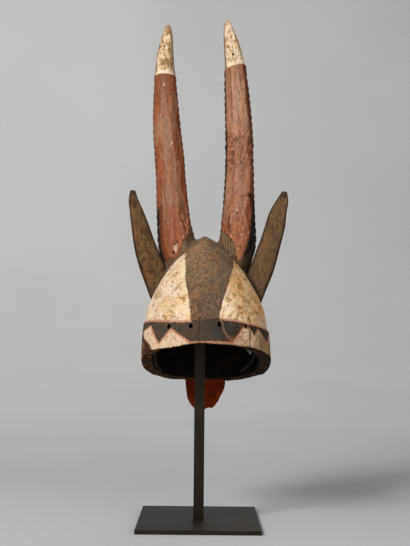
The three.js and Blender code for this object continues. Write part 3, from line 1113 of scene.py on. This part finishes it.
def tell(step):
    print(step + ":", len(wood.node_tree.nodes), "nodes so far")


tell("shared noises")

# %% [markdown]
# ### Bare wood
# Under the paint and where none was put, the wood is old, dark and smoke-browned. Streaks that follow the
# grain carry most of the colour. Broad patches stop it from looking like wallpaper, the pits are painted
# near black as painted shade, and painted shade darkens the corners where the horns and ears join the head.

# %% Patterns of the bare wood
figure = start.math("SINE", streaks(0.45, 34, 3, 0.5) * 62)
forehead = note["band"].rise(-20, 190)
freckles = streaks(0.6, 5.2, 3, 0.6)
stains_wide = cloud(move(place, (0, 0, 150)), 36, 4, 0.6)
thin_grain = streaks(0.05, 2.0, 3, 0.6)
side_grey = (abs(side + 4) - 20).rise(0, 22) * (stains_wide + 0.2).rise(0.5, 0.75)
clusters = patches * 0.3 - 0.15
slate = note["band"].rise(8, -12) * (cloud(place, 22, 3) + note["arc"] * 0.0012).rise(0.38, 0.56)
tell("patterns of the bare wood")

# %% Three kinds of bare wood
face_dark = coats(
    (0.14, 0.085, 0.048),
    (forehead, (0.35, 0.222, 0.125)),
    (grain.rise(0.55, 0.35) * 0.55, (0.085, 0.048, 0.026)),
    (patches.rise(0.44, 0.6) * 0.5, (0.25, 0.19, 0.13)),
    (stains_wide.rise(0.46, 0.62) * 0.5, (0.33, 0.168, 0.088)),
    (freckles.rise(0.44, 0.34) * 0.4, (0.42, 0.28, 0.158)),
    (side_grey * 0.5, (0.16, 0.125, 0.09)),
    ((specks + clusters).rise(0.52, 0.6) * 0.8, (0.066, 0.028, 0.015)),
    ((long_scratch + clusters).rise(0.57, 0.64) * 0.7, (0.052, 0.024, 0.014)),
    (freckles.rise(0.56, 0.64) * 0.6, (0.072, 0.038, 0.024)),
    (thin_grain.rise(0.56, 0.64) * note["band"].rise(110, 20) * 0.8, (0.055, 0.026, 0.015)),
    (blots.rise(0.54, 0.64) * 0.6, (0.1, 0.064, 0.044)),
    (dust.rise(0.6, 0.72) * 0.5, (0.42, 0.29, 0.18)),
    (slate * 0.85, (0.052, 0.05, 0.046)),
)
smoked = coats(
    (0.078, 0.044, 0.024),
    (patches.rise(0.36, 0.64), (0.15, 0.094, 0.054)),
    (stains_wide.rise(0.5, 0.66) * 0.6, (0.205, 0.12, 0.064)),
    (thin_grain.rise(0.54, 0.66) * 0.5, (0.036, 0.019, 0.01)),
    (blots.rise(0.56, 0.68) * 0.5, (0.046, 0.025, 0.014)),
)
bare = coats(
    (0.045, 0.024, 0.012),
    (grain.rise(0.3, 0.64), (0.175, 0.105, 0.055)),
    (patches.rise(0.42, 0.66) * 0.5, (0.12, 0.082, 0.05)),
    (figure.rise(0.2, 0.9) * 0.35, (0.04, 0.022, 0.012)),
    (specks.rise(0.57, 0.66) * 0.75, (0.022, 0.011, 0.006)),
    (0.35 + patches.rise(0.4, 0.6) * 0.4, smoked),
)
outside_skin = 1 - note["inside"].rise(-0.5, 0.5)
colour = layer(bare, deep.rise(20, -20) * outside_skin * 0.9, face_dark)
tell("bare wood")

# %% [markdown]
# ### The cheeks and the zigzag
# The cheeks are thick cream paint, cooler where it is clean and yellow-brown where hands and smoke reached
# it. Below the step, a dark zigzag is painted over the same cream and edged with red. The white shows short
# dark scratches that lean outward on both sides, which follow the tool marks, so the scratch pattern is
# made from the distance to the middle and not from the side itself.

# %% Wear and stains of the cream paint
FAN_KNOT = (66, 88)
SPLIT_SIDE = 82
stains = cloud(place, 30, 4, 0.6)
clean = cloud(move(place, (0, 0, 60)), 18, 3, 0.55)
scratch = cloud(stretch(leaned, (1, 1, 0.22)), 2.1, 3, 0.62)
yellowing = (stains + right_side * 0.06 - abs(note["arc"] + 60) * 0.0006).rise(0.4, 0.6)
low_clean = right_side * note["band"].rise(52, 12) * note["arc"].rise(125, 80) * clean.rise(0.66, 0.44)
dabs = cloud(place, 5.5, 4, 0.65)
mottle = (dabs + right_side * 0.035 - 0.01).rise(0.52, 0.66)
stain_strokes = cloud(stretch(leaned, (1, 1, 0.35)), 9, 4, 0.65) + (stains - 0.5) * 0.5
stain_low = right_side * note["band"].rise(110, 40) * 0.03
stain_side = abs(note["arc"]).rise(150, 200) * 0.05
brown_stain = (stain_strokes + right_side * 0.025 + stain_low - stain_side).rise(0.57, 0.66)
smoked_side = (note["arc"] + warp * 30).rise(62, 112) * (stains + mottle * 0.15).rise(0.4, 0.58)
worn_light = right_side * (note["arc"] + warp * 24).rise(74, 50) * (1 - brown_stain * 0.7)
grey_corner = note["arc"].rise(108, 128) * note["band"].rise(34, 12)
gathered = (patches - 0.5) * 0.24 + (clean - 0.5) * 0.22 + abs(note["arc"]).rise(70, 150) * 0.03
below_knot = FAN_KNOT[1] - height
fan_turn = start.math("ARCTAN2", side - FAN_KNOT[0], below_knot + 4)
fan_line = start.math("SINE", fan_turn * 21 + small_warp * 2.5).rise(0.62, 0.9)
in_fan = below_knot.rise(0, 5) * below_knot.rise(44, 30) * abs(fan_turn).rise(0.55, 0.42)
split_line = abs(side - SPLIT_SIDE + warp * 5).rise(1.5, 0.6) * height.rise(66, 58)
tell("wear of the cream paint")

# %% The cream paint
cream = coats(
    (0.87, 0.69, 0.48),
    (yellowing, (0.84, 0.58, 0.29)),
    (right_side * (0.68 + yellowing * 0.3), (1.0, 0.6, 0.24)),
    (clean.rise(0.52, 0.66) * 0.4, (0.76, 0.45, 0.26)),
    (low_clean * 0.8, (0.93, 0.72, 0.46)),
    (mottle * 0.55, layer((0.5, 0.31, 0.15), right_side, (0.74, 0.39, 0.145))),
    (brown_stain * 0.8, (0.34, 0.15, 0.05)),
    (smoked_side * (1 - stain_side * 15) * 0.35, (0.56, 0.29, 0.1)),
    (worn_light * 0.75, (1.0, 0.8, 0.54)),
    (grey_corner * 0.5, (0.64, 0.56, 0.46)),
    ((scratch + gathered).rise(0.59, 0.66) * 0.65, (0.23, 0.135, 0.068)),
    ((long_scratch + gathered).rise(0.59, 0.655) * 0.8, (0.105, 0.056, 0.026)),
    (fan_line * in_fan * blots.rise(0.32, 0.5) * 0.75, (0.15, 0.08, 0.038)),
    (split_line * 0.85, (0.07, 0.036, 0.02)),
)
tell("cream paint")

# %% Lay the cream on the cheeks
cheek_line = note["cheek"] + warp * 5 + small_warp * 3
above_band = (note["band"] + small_warp * 1.2).rise(-0.2, 0.9)
on_cheek = cheek_line.rise(-0.6, 1.0)
# A painted highlight: a thin pale line along the right cheek's upper edge, on its crisp ridge.
ridge_highlight = abs(cheek_line - 1.6).rise(2.0, 0.8) * (side - 57).rise(0, 6)
lost = (specks * 0.5 + blots * 0.6 - (cheek_line.rise(0, 8) * 0.11)).rise(0.6, 0.645)
cream = coats(cream, (ridge_highlight * 0.8, (0.8, 0.52, 0.38)), (lost, (0.085, 0.045, 0.022)))
not_added = (1 - note["horn"].rise(-5, -2.5)) * (1 - note["ear"].rise(-5, -2.5)) * outside_skin
cheek_paint = on_cheek * above_band * not_added
colour = layer(colour, cheek_paint, cream)
tell("cheeks")

# %% The band with its zigzag
in_band = (1 - above_band) * outside_skin * (1 - note["flap"].rise(-1, 1))
zig_line = note["zigzag"] + warp * 3.0 + small_warp * 2.0
right_ward = note["arc"].rise(-30, 60)
zig_dark = coats(
    (0.074, 0.054, 0.036),
    (right_ward, (0.032, 0.026, 0.019)),
    (stains.rise(0.45, 0.62) * 0.6, (0.096, 0.056, 0.031)),
    (clean.rise(0.47, 0.56) * 0.75, (0.046, 0.044, 0.042)),
    (freckles.rise(0.56, 0.66) * 0.6, (0.15, 0.075, 0.04)),
    (grain.rise(0.5, 0.34) * 0.4, (0.02, 0.014, 0.01)),
)
soiled_end = note["arc"].rise(90, 125) * (height + warp * 18).rise(42, 22)
zig_white = coats(
    (0.72, 0.52, 0.34),
    (mottle, (0.4, 0.24, 0.12)),
    ((scratch + gathered).rise(0.58, 0.66) * 0.7, (0.17, 0.095, 0.048)),
    (brown_stain * 0.5, (0.33, 0.16, 0.075)),
    (split_line * 0.8, (0.07, 0.036, 0.02)),
    (soiled_end * 0.75, (0.19, 0.095, 0.042)),
)
zig_red = layer((0.56, 0.26, 0.15), specks.rise(0.46, 0.6), (0.33, 0.1, 0.045))
red_edge = abs(zig_line + 0.4).rise(2.5, 1.5)
stroke_line = (note["stroke"] + warp * 2 + small_warp).rise(2.6, 1.2)
red_foot = abs(note["arc"] - 55).rise(18, 8) * height.rise(20, 8) * zig_line.rise(-0.6, 0.8)
band_colour = coats(
    zig_white,
    (zig_line.rise(-0.6, 0.8), zig_dark),
    (red_edge * (0.95 - blots.rise(0.5, 0.62) * 0.6), zig_red),
    (stroke_line * blots.rise(0.3, 0.5) * 0.8, (0.25, 0.135, 0.08)),
    (red_foot * 0.7, (0.23, 0.08, 0.038)),
)
tell("zigzag")

# %% The band's ends, its broken corner and its red top line
ochre = abs(note["arc"] - 137).rise(16, 7) * height.rise(22, 10)
band_colour = layer(band_colour, ochre * 0.8 * (blots + 0.25).rise(0.55, 0.75), (0.4, 0.27, 0.08))
before_seam = deep.rise(95, 85)
painted_part = (222 - abs(note["arc"]) + warp * 20).rise(0, 6) * before_seam
line_height = note["band"] + 0.6 + small_warp * 1.5
top_line = abs(line_height + 0.6).rise(3.2, 2.0)
two_strokes = layer(zig_red, abs(line_height + 0.4).rise(1.0, 0.3) * 0.7, (0.7, 0.45, 0.33))
under_cheek = (abs(note["arc"]) - 27).rise(0, 4) * painted_part * outside_skin * not_added
broken_wood = layer((0.03, 0.013, 0.006), blots.rise(0.42, 0.58), (0.18, 0.08, 0.032))
on_break = (note["break"] + warp * 6 + small_warp * 3).rise(-0.5, 1.0) * outside_skin
hand_worn = (note["edge"] + warp * 4 + small_warp * 3).rise(5.0, 2.0) * outside_skin * (1 - on_break)
worn_where = (note["arc"] + 25).rise(-20, 0) * blots.rise(0.36, 0.54) * (0.4 + before_seam * 0.6)
colour = coats(
    colour,
    (in_band * painted_part, band_colour),
    (top_line * under_cheek * (0.95 - specks.rise(0.52, 0.62) * 0.7), two_strokes),
    (on_break, broken_wood),
    (hand_worn * worn_where * 0.8, (0.33, 0.165, 0.08)),
)
tell("band")

# %% [markdown]
# ### The horns, the tips and the ears
# The horns are brick red on the front only. The flat cuts catch dust, so the middle one is paler and greyer
# than its flanks, and the rings behind are bare and dark. The right horn's right flank is also darkened,
# partly as painted shade. In two places the paint is thick and crusty. Raised relief and crumbs carry
# painted highlights, and pits, hollows and the underside of a step carry painted shade. The tips are the
# same cream as the cheeks, browned in streaks.

# %% The flat cuts and the streaks of the red horns
LOW_PAINT = 333
# The height of the painted shadow under the right horn's step.
STEP_SHADOW_LINE = 356
up_horn, across_horn = note["horn_height"], note["horn_side"]
horn_turn = start.math("ARCTAN2", across_horn, note["horn_front"])
turn_line = horn_turn + warp * 0.16 + small_warp * 0.05
off_middle = abs(turn_line)
left_limit = 0.46 + right_side * 0.3
right_limit = 0.46 - left_side * up_horn.rise(505, 570) * 0.36
from_cut = (0 - turn_line - left_limit).higher(turn_line - right_limit)
middle_cut = from_cut.rise(0.03, -0.03)
flank_cut = off_middle.rise(1.36, 1.24) * (1 - middle_cut)
horn_streak = streaks(0.1, 4.4, 4, 0.62)
thin_streak = streaks(0.07, 1.9, 3, 0.6)
bright_foot = up_horn.rise(350, 250)
tone_line = note["tone"] + (patches - 0.5) * 0.6 + small_warp * 0.3
inner_flank = layer((0.33, 0.07, 0.02), right_side, (0.19, 0.04, 0.014))
middle_light = turn_line.rise(0.3, -0.3) * (1 - right_side * 0.4) + right_side * 0.4
left_low = left_side * (up_horn - LOW_PAINT + warp * 8).rise(3, -3)
dull_flank = right_side * turn_line.rise(-0.62, -0.85) * up_horn.rise(300, 350) * (1 - middle_cut)
orange_strip = right_side * turn_line.rise(0.16, 0.34) * up_horn.rise(490, 450)
rusty = right_side * up_horn.rise(505, 470) * middle_cut * (blots * 0.6 + horn_streak * 0.5)
inner_foot = left_side * bright_foot * turn_line.rise(0.0, 0.3)
dusty = right_side * up_horn.rise(500, 545) * turn_line.rise(0.15, -0.1) * middle_cut
middle_edge = abs(from_cut + (blots - 0.5) * 0.25).rise(0.1, 0.03) * patches.rise(0.34, 0.5)
scoop_edge = abs(note["scoop"] + small_warp * 0.4).rise(0.32, 0.06) * blots.rise(0.36, 0.52)
shaded_edge = off_middle.rise(0.9, 1.3) * (1 - right_side * across_horn.rise(0, -0.3) * 0.85)
left_flank = (0 - across_horn + warp * 0.12) * left_low
tell("cuts and streaks")

# %% The red paint
red = coats(
    (0.24, 0.062, 0.023),
    (flank_cut, (0.35, 0.104, 0.042)),
    (turn_line.rise(0.3, 0.46) * (1 - middle_cut), inner_flank),
    (middle_cut, layer((0.335, 0.142, 0.083), middle_light, (0.44, 0.212, 0.13))),
    (left_side * middle_cut * 0.3, (0.21, 0.072, 0.028)),
    (tone_line.rise(0.42, 0.22) * 0.65, (0.37, 0.2, 0.128)),
    (tone_line.rise(0.62, 0.8) * 0.65, (0.225, 0.072, 0.031)),
    (left_low * middle_cut * 0.55, (0.31, 0.095, 0.038)),
    (bright_foot * middle_cut * 0.75, layer((0.27, 0.068, 0.022), right_side, (0.66, 0.205, 0.086))),
    (dull_flank * 0.6, (0.43, 0.22, 0.14)),
    (orange_strip * (0.3 + patches.rise(0.4, 0.6) * 0.5), (0.36, 0.1, 0.036)),
    (rusty.rise(0.54, 0.64) * 0.6, (0.56, 0.185, 0.08)),
    (inner_foot * 0.7, (0.48, 0.165, 0.075)),
    (right_side * up_horn.rise(380, 450) * 0.35 * middle_cut, (0.52, 0.27, 0.165)),
    (dusty * 0.55, (0.6, 0.34, 0.21)),
    (note["tip"].rise(-60, -8) * (0.5 - right_side * 0.15), (0.215, 0.08, 0.044)),
    (middle_edge * 0.6, (0.15, 0.044, 0.019)),
    (horn_streak.rise(0.56, 0.64) * 0.6, (0.2, 0.062, 0.028)),
    (thin_streak.rise(0.56, 0.66) * 0.45, (0.52, 0.22, 0.12)),
    # Painted highlight and shade: raised relief is lighter and its hollows darker.
    (note["raised"].rise(0.35, 1.0) * 0.6, (0.62, 0.235, 0.118)),
    (note["raised"].rise(-0.2, -0.5) * 0.3, (0.17, 0.045, 0.018)),
    (thin_streak.rise(0.42, 0.34) * 0.5, (0.16, 0.052, 0.024)),
    (blots.rise(0.56, 0.66) * 0.45, (0.27, 0.12, 0.07)),
    (scoop_edge * 0.24, (0.52, 0.28, 0.185)),
    (shaded_edge * 0.6, (0.14, 0.032, 0.012)),
    (left_flank.rise(0.48, 0.8) * 0.75, (0.13, 0.028, 0.009)),
    # Painted shade: the right horn's right flank is darkened, where it turns from the light.
    (right_side * turn_line.rise(0.44, 0.8) * 0.75, (0.11, 0.026, 0.01)),
    (left_flank.rise(0.8, 0.92), (0.026, 0.013, 0.007)),
)
tell("red paint")

# %% Crust on the horns with painted highlights and shade, and the dark wood and painted shade behind them
low_crust = up_horn.rise(350, 300) * up_horn.rise(218, 240)
low_crust = low_crust * (right_side + left_side * turn_line.rise(0.0, 0.4))
high_crust = up_horn.rise(400, 425) * up_horn.rise(500, 475) * right_side
crust_zone = low_crust.higher(high_crust)
crumb = streaks(0.34, 4.2, 4, 0.68)
# The crust's crumbs are thick, lighter paint with painted highlights on top, and the pits between them are
# darkened as painted shade.
crust_and_highlight = (crumb + crust_zone * 0.12 + (blots - 0.5) * 0.3).rise(0.62, 0.7)
flaked = (note["flake"] + small_warp * 5).rise(0.8, -0.5)
crust_pit_and_shade = (crumb - crust_zone * 0.07 + (blots - 0.5) * 0.3).rise(0.36, 0.29)
# Dark wood and painted shade: the right horn's right flank turns from the light and is darkened.
dark_shaded_side = right_side * across_horn.rise(0.1, 0.4) * up_horn.rise(360, 340)
rear_wood = coats(
    (0.014, 0.008, 0.005),
    (grain.rise(0.38, 0.62), (0.06, 0.03, 0.017)),
    ((specks + blots * 0.5).rise(0.8, 0.88) * 0.6, (0.18, 0.05, 0.02)),
    (dark_shaded_side * 0.9, (0.009, 0.005, 0.003)),
)
# Past a limit that moves with height, the right horn's right flank takes the dark rear wood: dark wood,
# partly painted shade.
step_height = up_horn + warp * 26 + across_horn.rise(0.6, 1.0) * 14
dark_limit = up_horn.rise(245, 340) * 0.54 + step_height.rise(348, 368) * 0.9 + 0.26
past_limit = across_horn - dark_limit + warp * 0.3
right_dark = right_side * past_limit.rise(-0.06, 0.08)
# A painted shadow: a dark line under the step on the right horn, where its upper part overhangs.
step_shadow = abs(step_height - warp * 20 - STEP_SHADOW_LINE).rise(5, 2.5) * across_horn.rise(0.15, 0.4) * right_side
to_rear = (off_middle + small_warp * 0.2).rise(1.3, 1.52).higher(right_dark)
red = coats(
    red,
    # Painted highlights on the crumbs, then painted shade in the pits.
    (crust_and_highlight * 0.8, (0.66, 0.255, 0.128)),
    (crust_and_highlight * crumb.rise(0.58, 0.68) * 0.5, (0.82, 0.48, 0.32)),
    (crust_pit_and_shade * (0.75 - right_side * 0.3), (0.125, 0.034, 0.015)),
    (flaked * 0.9, (0.64, 0.43, 0.29)),
    (right_side * past_limit.rise(-0.34, 0) * 0.6, (0.19, 0.052, 0.022)),
    (step_shadow * (0.5 + across_horn.rise(0.2, 0.6) * 0.5), (0.028, 0.013, 0.007)),
    (to_rear, rear_wood),
)
tell("crust_and_highlight")

# %% Where the red starts, and the cream tips
inward = 0 - start.math("SIGN", side) * across_horn
inner_rise = (inward + 0.08).higher(0) * 60
outer_rise = (0 - inward - 0.05).higher(0) * right_side * 62
red_from = up_horn - 221 + right_side * 8 - inner_rise - outer_rise + warp * 22 + small_warp * 8
on_horn = note["horn"].rise(0.5, 2.5) * red_from.rise(-1.5, 2.0)
horn_root = note["horn"].rise(-2.0, 3.0) * (1 - on_horn)
root_brown = coats(
    (0.055, 0.03, 0.016),
    (grain.rise(0.4, 0.58), (0.2, 0.12, 0.062)),
    (blots.rise(0.52, 0.64) * 0.6, (0.26, 0.15, 0.07)),
    # Dark wood and painted shade on the outer side of the right horn's foot.
    (right_side * (0 - inward).rise(0.1, 0.45) * 0.9, (0.016, 0.009, 0.005)),
    (flaked * 0.85, (0.56, 0.37, 0.19)),
    (deep.rise(-14, 14) * 0.85, (0.082, 0.048, 0.026)),
)
left_brown = left_side * 0.05
tip_streak = streaks(0.4, 6.0, 4, 0.65)
tip_brown = tip_streak + left_brown
tip_crack = streaks(0.12, 3.0, 3, 0.6, 0.5)
near_point = (note["tip"] + warp * 14).rise(88, 100)
tip_cream = coats(
    (0.86, 0.69, 0.48),
    (tip_brown.rise(0.47, 0.6), (0.64, 0.41, 0.19)),
    ((blots + left_brown).rise(0.52, 0.62) * 0.7, (0.42, 0.21, 0.085)),
    (tip_brown.rise(0.6, 0.68) * 0.8, (0.2, 0.098, 0.04)),
    (specks.rise(0.6, 0.66) * 0.75, (0.11, 0.055, 0.028)),
    ((tip_crack + left_brown * 0.4).rise(0.6, 0.65) * 0.8, (0.12, 0.056, 0.022)),
    ((note["tip"] - warp * 8).rise(10, 6), (0.9, 0.7, 0.5)),
    ((off_middle + tip_streak * 0.8).rise(1.45, 1.75) * 0.85, (0.13, 0.068, 0.032)),
    (near_point * 0.5, (0.3, 0.21, 0.13)),
)
on_tip = (note["tip"] + small_warp * 1.2).rise(-0.2, 0.5) * note["horn"].rise(1.0, 3.0)
colour = coats(colour, (horn_root * 0.9, root_brown), (on_horn, red), (on_tip, tip_cream))
tell("horns and tips")

# %% The ears' bare wood
ear_grain = streaks(0.13, 3.4, 5, 0.62, 0.6)
ear_rim = (abs(note["ear_edge"]) + warp * 0.2).rise(0.7, 0.94)
ear_wood = coats(
    (0.075, 0.037, 0.016),
    (ear_grain.rise(0.36, 0.6), (0.185, 0.102, 0.046)),
    (patches.rise(0.42, 0.62) * 0.5, (0.125, 0.076, 0.036)),
    ((blots + (stains_wide - 0.5) * 0.5).rise(0.5, 0.62) * 0.65, (0.052, 0.024, 0.01)),
    (stains_wide.rise(0.5, 0.36) * 0.6, (0.2, 0.086, 0.036)),
    (right_side * 0.3, (0.19, 0.12, 0.068)),
    (figure.rise(0.2, 0.9) * 0.35, (0.054, 0.027, 0.012)),
    (specks.rise(0.58, 0.66) * 0.7, (0.034, 0.017, 0.008)),
    ((height + warp * 20).rise(338, 352) * 0.8, (0.04, 0.026, 0.02)),
    (dust.rise(0.6, 0.7) * 0.4, (0.3, 0.18, 0.09)),
    (ear_rim * 0.85, (0.024, 0.013, 0.007)),
)
tell("ears")

# %% The painted shade in the creases, the rim, the flap and the inside
# Painted shade: the corners where the horns and ears join the head are darkened, more on the right.
crease_shade_strength = 0.2 + blots * 0.5 + right_side * 0.3
crease_shade = note["crease"].rise(9, 0.5) * (1 - cheek_paint) * crease_shade_strength * (1 - note["horn"].rise(-6, 0) * 0.6)
# The raw wood of the rim's worn edge and underside, darkened as painted shade where it faces down.
raw_wood_and_shade = coats(
    (0.009, 0.004, 0.002),
    (blots.rise(0.42, 0.6), (0.036, 0.016, 0.006)),
    ((note["arc"] + 90).rise(20, -60) * blots.rise(0.46, 0.58) * 0.8, (0.125, 0.038, 0.005)),
    ((specks - right_side * 0.04).rise(0.6, 0.68) * 0.7, (0.13, 0.056, 0.018)),
)
in_front_part = note["arc"].math("COMPARE", note["arc"], 0, 150) * before_seam
edge_line = (note["edge"] + warp * 3 + small_warp * 1.5 + in_front_part * 1.4).rise(2.0, 0.8)
lip = edge_line.higher(note["inset"].rise(1.2, 2.4) * height.rise(9, 6) * (1 - on_break))
# Painted shade: the hollow is dark wood, darkened to near black where the inside of the helmet is in shade.
hollow_black = layer((0.005, 0.003, 0.002), blots.rise(0.4, 0.66), (0.016, 0.01, 0.006))
flap_red = coats(
    (0.2, 0.022, 0.002),
    (blots.rise(0.42, 0.62), (0.125, 0.013, 0.001)),
    (grain.rise(0.55, 0.66) * 0.5, (0.26, 0.038, 0.004)),
    (specks.rise(0.6, 0.68) * 0.7, (0.042, 0.01, 0.004)),
)
colour = coats(
    colour,
    (note["ear"].rise(0.0, 5.0), ear_wood),
    # The painted shade in the corners where the horns and ears join the head.
    (crease_shade * outside_skin * deep.rise(-75, -35), (0.012, 0.007, 0.004)),
    (lip * (1 - note["flap"].rise(-1, 1)), raw_wood_and_shade),
    (note["inside"].rise(-0.3, 0.8), hollow_black),
    (note["flap"].rise(-0.5, 1.0) * outside_skin, flap_red),
    # Painted shade: the pits and the drilled holes are near black inside.
    (note["pit"].rise(0.7, 0.1), (0.012, 0.006, 0.003)),
)
tell("every colour")

# %% Relief and dullness
painted = cheek_paint.higher(on_tip)
relief = grain * 0.35 + fine_grain * 0.12 + specks * 0.16 + painted * 0.15 - cheek_paint * lost * 0.3
relief = relief + on_horn * (crust_and_highlight * 1.8 - crust_pit_and_shade * 1.2 + horn_streak * 1.6 + thin_streak * 0.7)
relief = relief + on_horn * crust_zone * crumb * 4
relief = relief - cheek_paint * (scratch.rise(0.55, 0.65) * 0.25 + long_scratch.rise(0.58, 0.67) * 0.35)
relief = relief + cheek_paint * dabs * 0.5
dull = 0.82 - on_horn * 0.22 + blots * 0.1 - crust_and_highlight * on_horn * 0.14 - (1 - painted) * 0.06
connect(wood_shader, {"Base Color": colour, "Roughness": dull, "Normal": bump(start, relief)})
connect(wood_shader, {"Specular IOR Level": 0.09})
finish_with(block, wood)
print("painted wood:", len(wood.node_tree.nodes), "nodes")

# %% [markdown]
# ## The stand's finishes
# The plate, the post and the cradle are steel with a dark bronze coat, baked on and satin. Its colour
# hardly changes, so the interest is in the sheen: a fine orange-peel relief, smudges that are paler and
# duller, and faint rubbed streaks. The little tab is grey plastic.

# %% Dark steel
def coated_steel(name, seed):
    finish, shader, start = start_finish(name)
    spot = start.node("TexCoord", output="Object")
    millimetres = stretch(spot, (1000, 1000, 1000))
    seeded = move(millimetres, (seed, 0, 0))
    smudge, peel = cloud(seeded, 60, 3, 0.55), cloud(seeded, 1.6, 2)
    rub = cloud(stretch(seeded, (1, 1, 0.2)), 9, 4, 0.7)
    coat = layer((0.013, 0.0088, 0.0055), smudge.rise(0.38, 0.66), (0.02, 0.014, 0.009))
    coat = layer(coat, rub.rise(0.58, 0.7) * 0.35, (0.036, 0.026, 0.018))
    connect(shader, {"Base Color": coat, "Metallic": 0.0, "Roughness": 0.44 + smudge * 0.14 + rub * 0.08})
    connect(shader, {"Specular IOR Level": 0.2, "Normal": bump(start, peel * 0.05 + rub * 0.02)})
    return finish


# %% Grey plastic, and a finish for each piece of the stand
def grey_plastic():
    finish, shader, start = start_finish("grey_tab")
    spot = stretch(start.node("TexCoord", output="Object"), (1000, 1000, 1000))
    cast, scuff = cloud(spot, 12, 3), cloud(stretch(spot, (0.3, 1, 1)), 2.2, 4, 0.7)
    grey = layer((0.2, 0.235, 0.215), cast.rise(0.35, 0.65), (0.27, 0.3, 0.275))
    grey = layer(grey, scuff.rise(0.6, 0.72) * 0.5, (0.38, 0.4, 0.38))
    connect(shader, {"Base Color": grey, "Roughness": 0.42 + scuff * 0.2})
    connect(shader, {"Normal": bump(start, scuff * 0.08)})
    return finish


STEEL_PIECES = ["base_plate", "post", "cradle_hoop", "cradle_arm_left", "cradle_arm_right"]
for number, name in enumerate(STEEL_PIECES):
    finish_with(nodes[name], coated_steel("dark_" + name, 310 * number))
finish_with(nodes["cradle_tab"], grey_plastic())
print("steel finishes:", len(STEEL_PIECES))

# %% [markdown]
# ## The studio
# The floor and the wall are one wide pale bowl, so no edge shows behind the object from any side. One large
# soft lamp stands to the upper left, a weak one fills from the right, and another from behind keeps the
# back readable. A fourth one only lights the wall.

# %% The floor and the wall
BOWL_REACH = [0, 0.8, 1.6, 2.4, 3.2, 3.9, 4.45, 4.8, 4.95, 5]
BOWL_RISE = [0, 0, 0, 0.03, 0.17, 0.5, 1.05, 1.8, 2.8, 4]
BOWL_RINGS = 60
BOWL_AROUND = 96

stations = np.arange(len(BOWL_REACH))
inwards = np.linspace(stations[-1], 0, BOWL_RINGS)
reach = curve(stations, BOWL_REACH)(inwards)[:, None]
rise = np.maximum(0, curve(stations, BOWL_RISE)(inwards))[:, None]
turn = full_turn(BOWL_AROUND)
rings = np.stack([reach * np.sin(turn), -reach * np.cos(turn), rise + 0 * turn], -1)
bowl = add_mesh("studio_bowl", rings.reshape(-1, 3), skin(rings)[2])
bowl.data.shade_smooth()
paper, paper_shader, start = start_finish("pale_paper")
paper_spot = start.node("TexCoord", output="Object")
paper_colour = layer((0.56, 0.56, 0.555), cloud(paper_spot, 0.9, 2).rise(0.3, 0.7), (0.59, 0.59, 0.585))
connect(paper_shader, {"Base Color": paper_colour, "Roughness": 0.85 + cloud(paper_spot, 0.3, 2) * 0.1})
finish_with(bowl, paper)
print("the bowl:", len(bowl.data.polygons), "faces")


# %% The lamps
def lamp(name, place, target, size, power, spread=180):
    data = bpy.data.lights.new(name, "AREA")
    data.shape, data.size, data.energy, data.spread = "DISK", size, power, math.radians(spread)
    made = bpy.data.objects.new(name, data)
    made.location = place
    made.rotation_euler = (Vector(target) - Vector(place)).to_track_quat("-Z", "Y").to_euler()
    bpy.context.collection.objects.link(made)


lamp("key", (-1.9, -2.2, 2.4), (0, 0, 0.6), 1.2, 102)
lamp("fill", (2.2, -2.0, 1.2), (0, 0, 0.6), 1.6, 20)
lamp("back", (1.0, 2.3, 2.9), (0, 0, 0.6), 1.6, 12)
lamp("wall", (-1.0, 1.0, 3.6), (-0.6, 5.0, 1.6), 1.2, 50, spread=140)
world = bpy.data.worlds.new("studio")
world.use_nodes = True
world.node_tree.nodes["Background"].inputs["Color"].default_value = (1, 1, 1, 1)
world.node_tree.nodes["Background"].inputs["Strength"].default_value = 0.15
bpy.context.scene.world = world
bpy.context.scene.view_settings.view_transform = "Standard"
print("lamps and stage are in place")
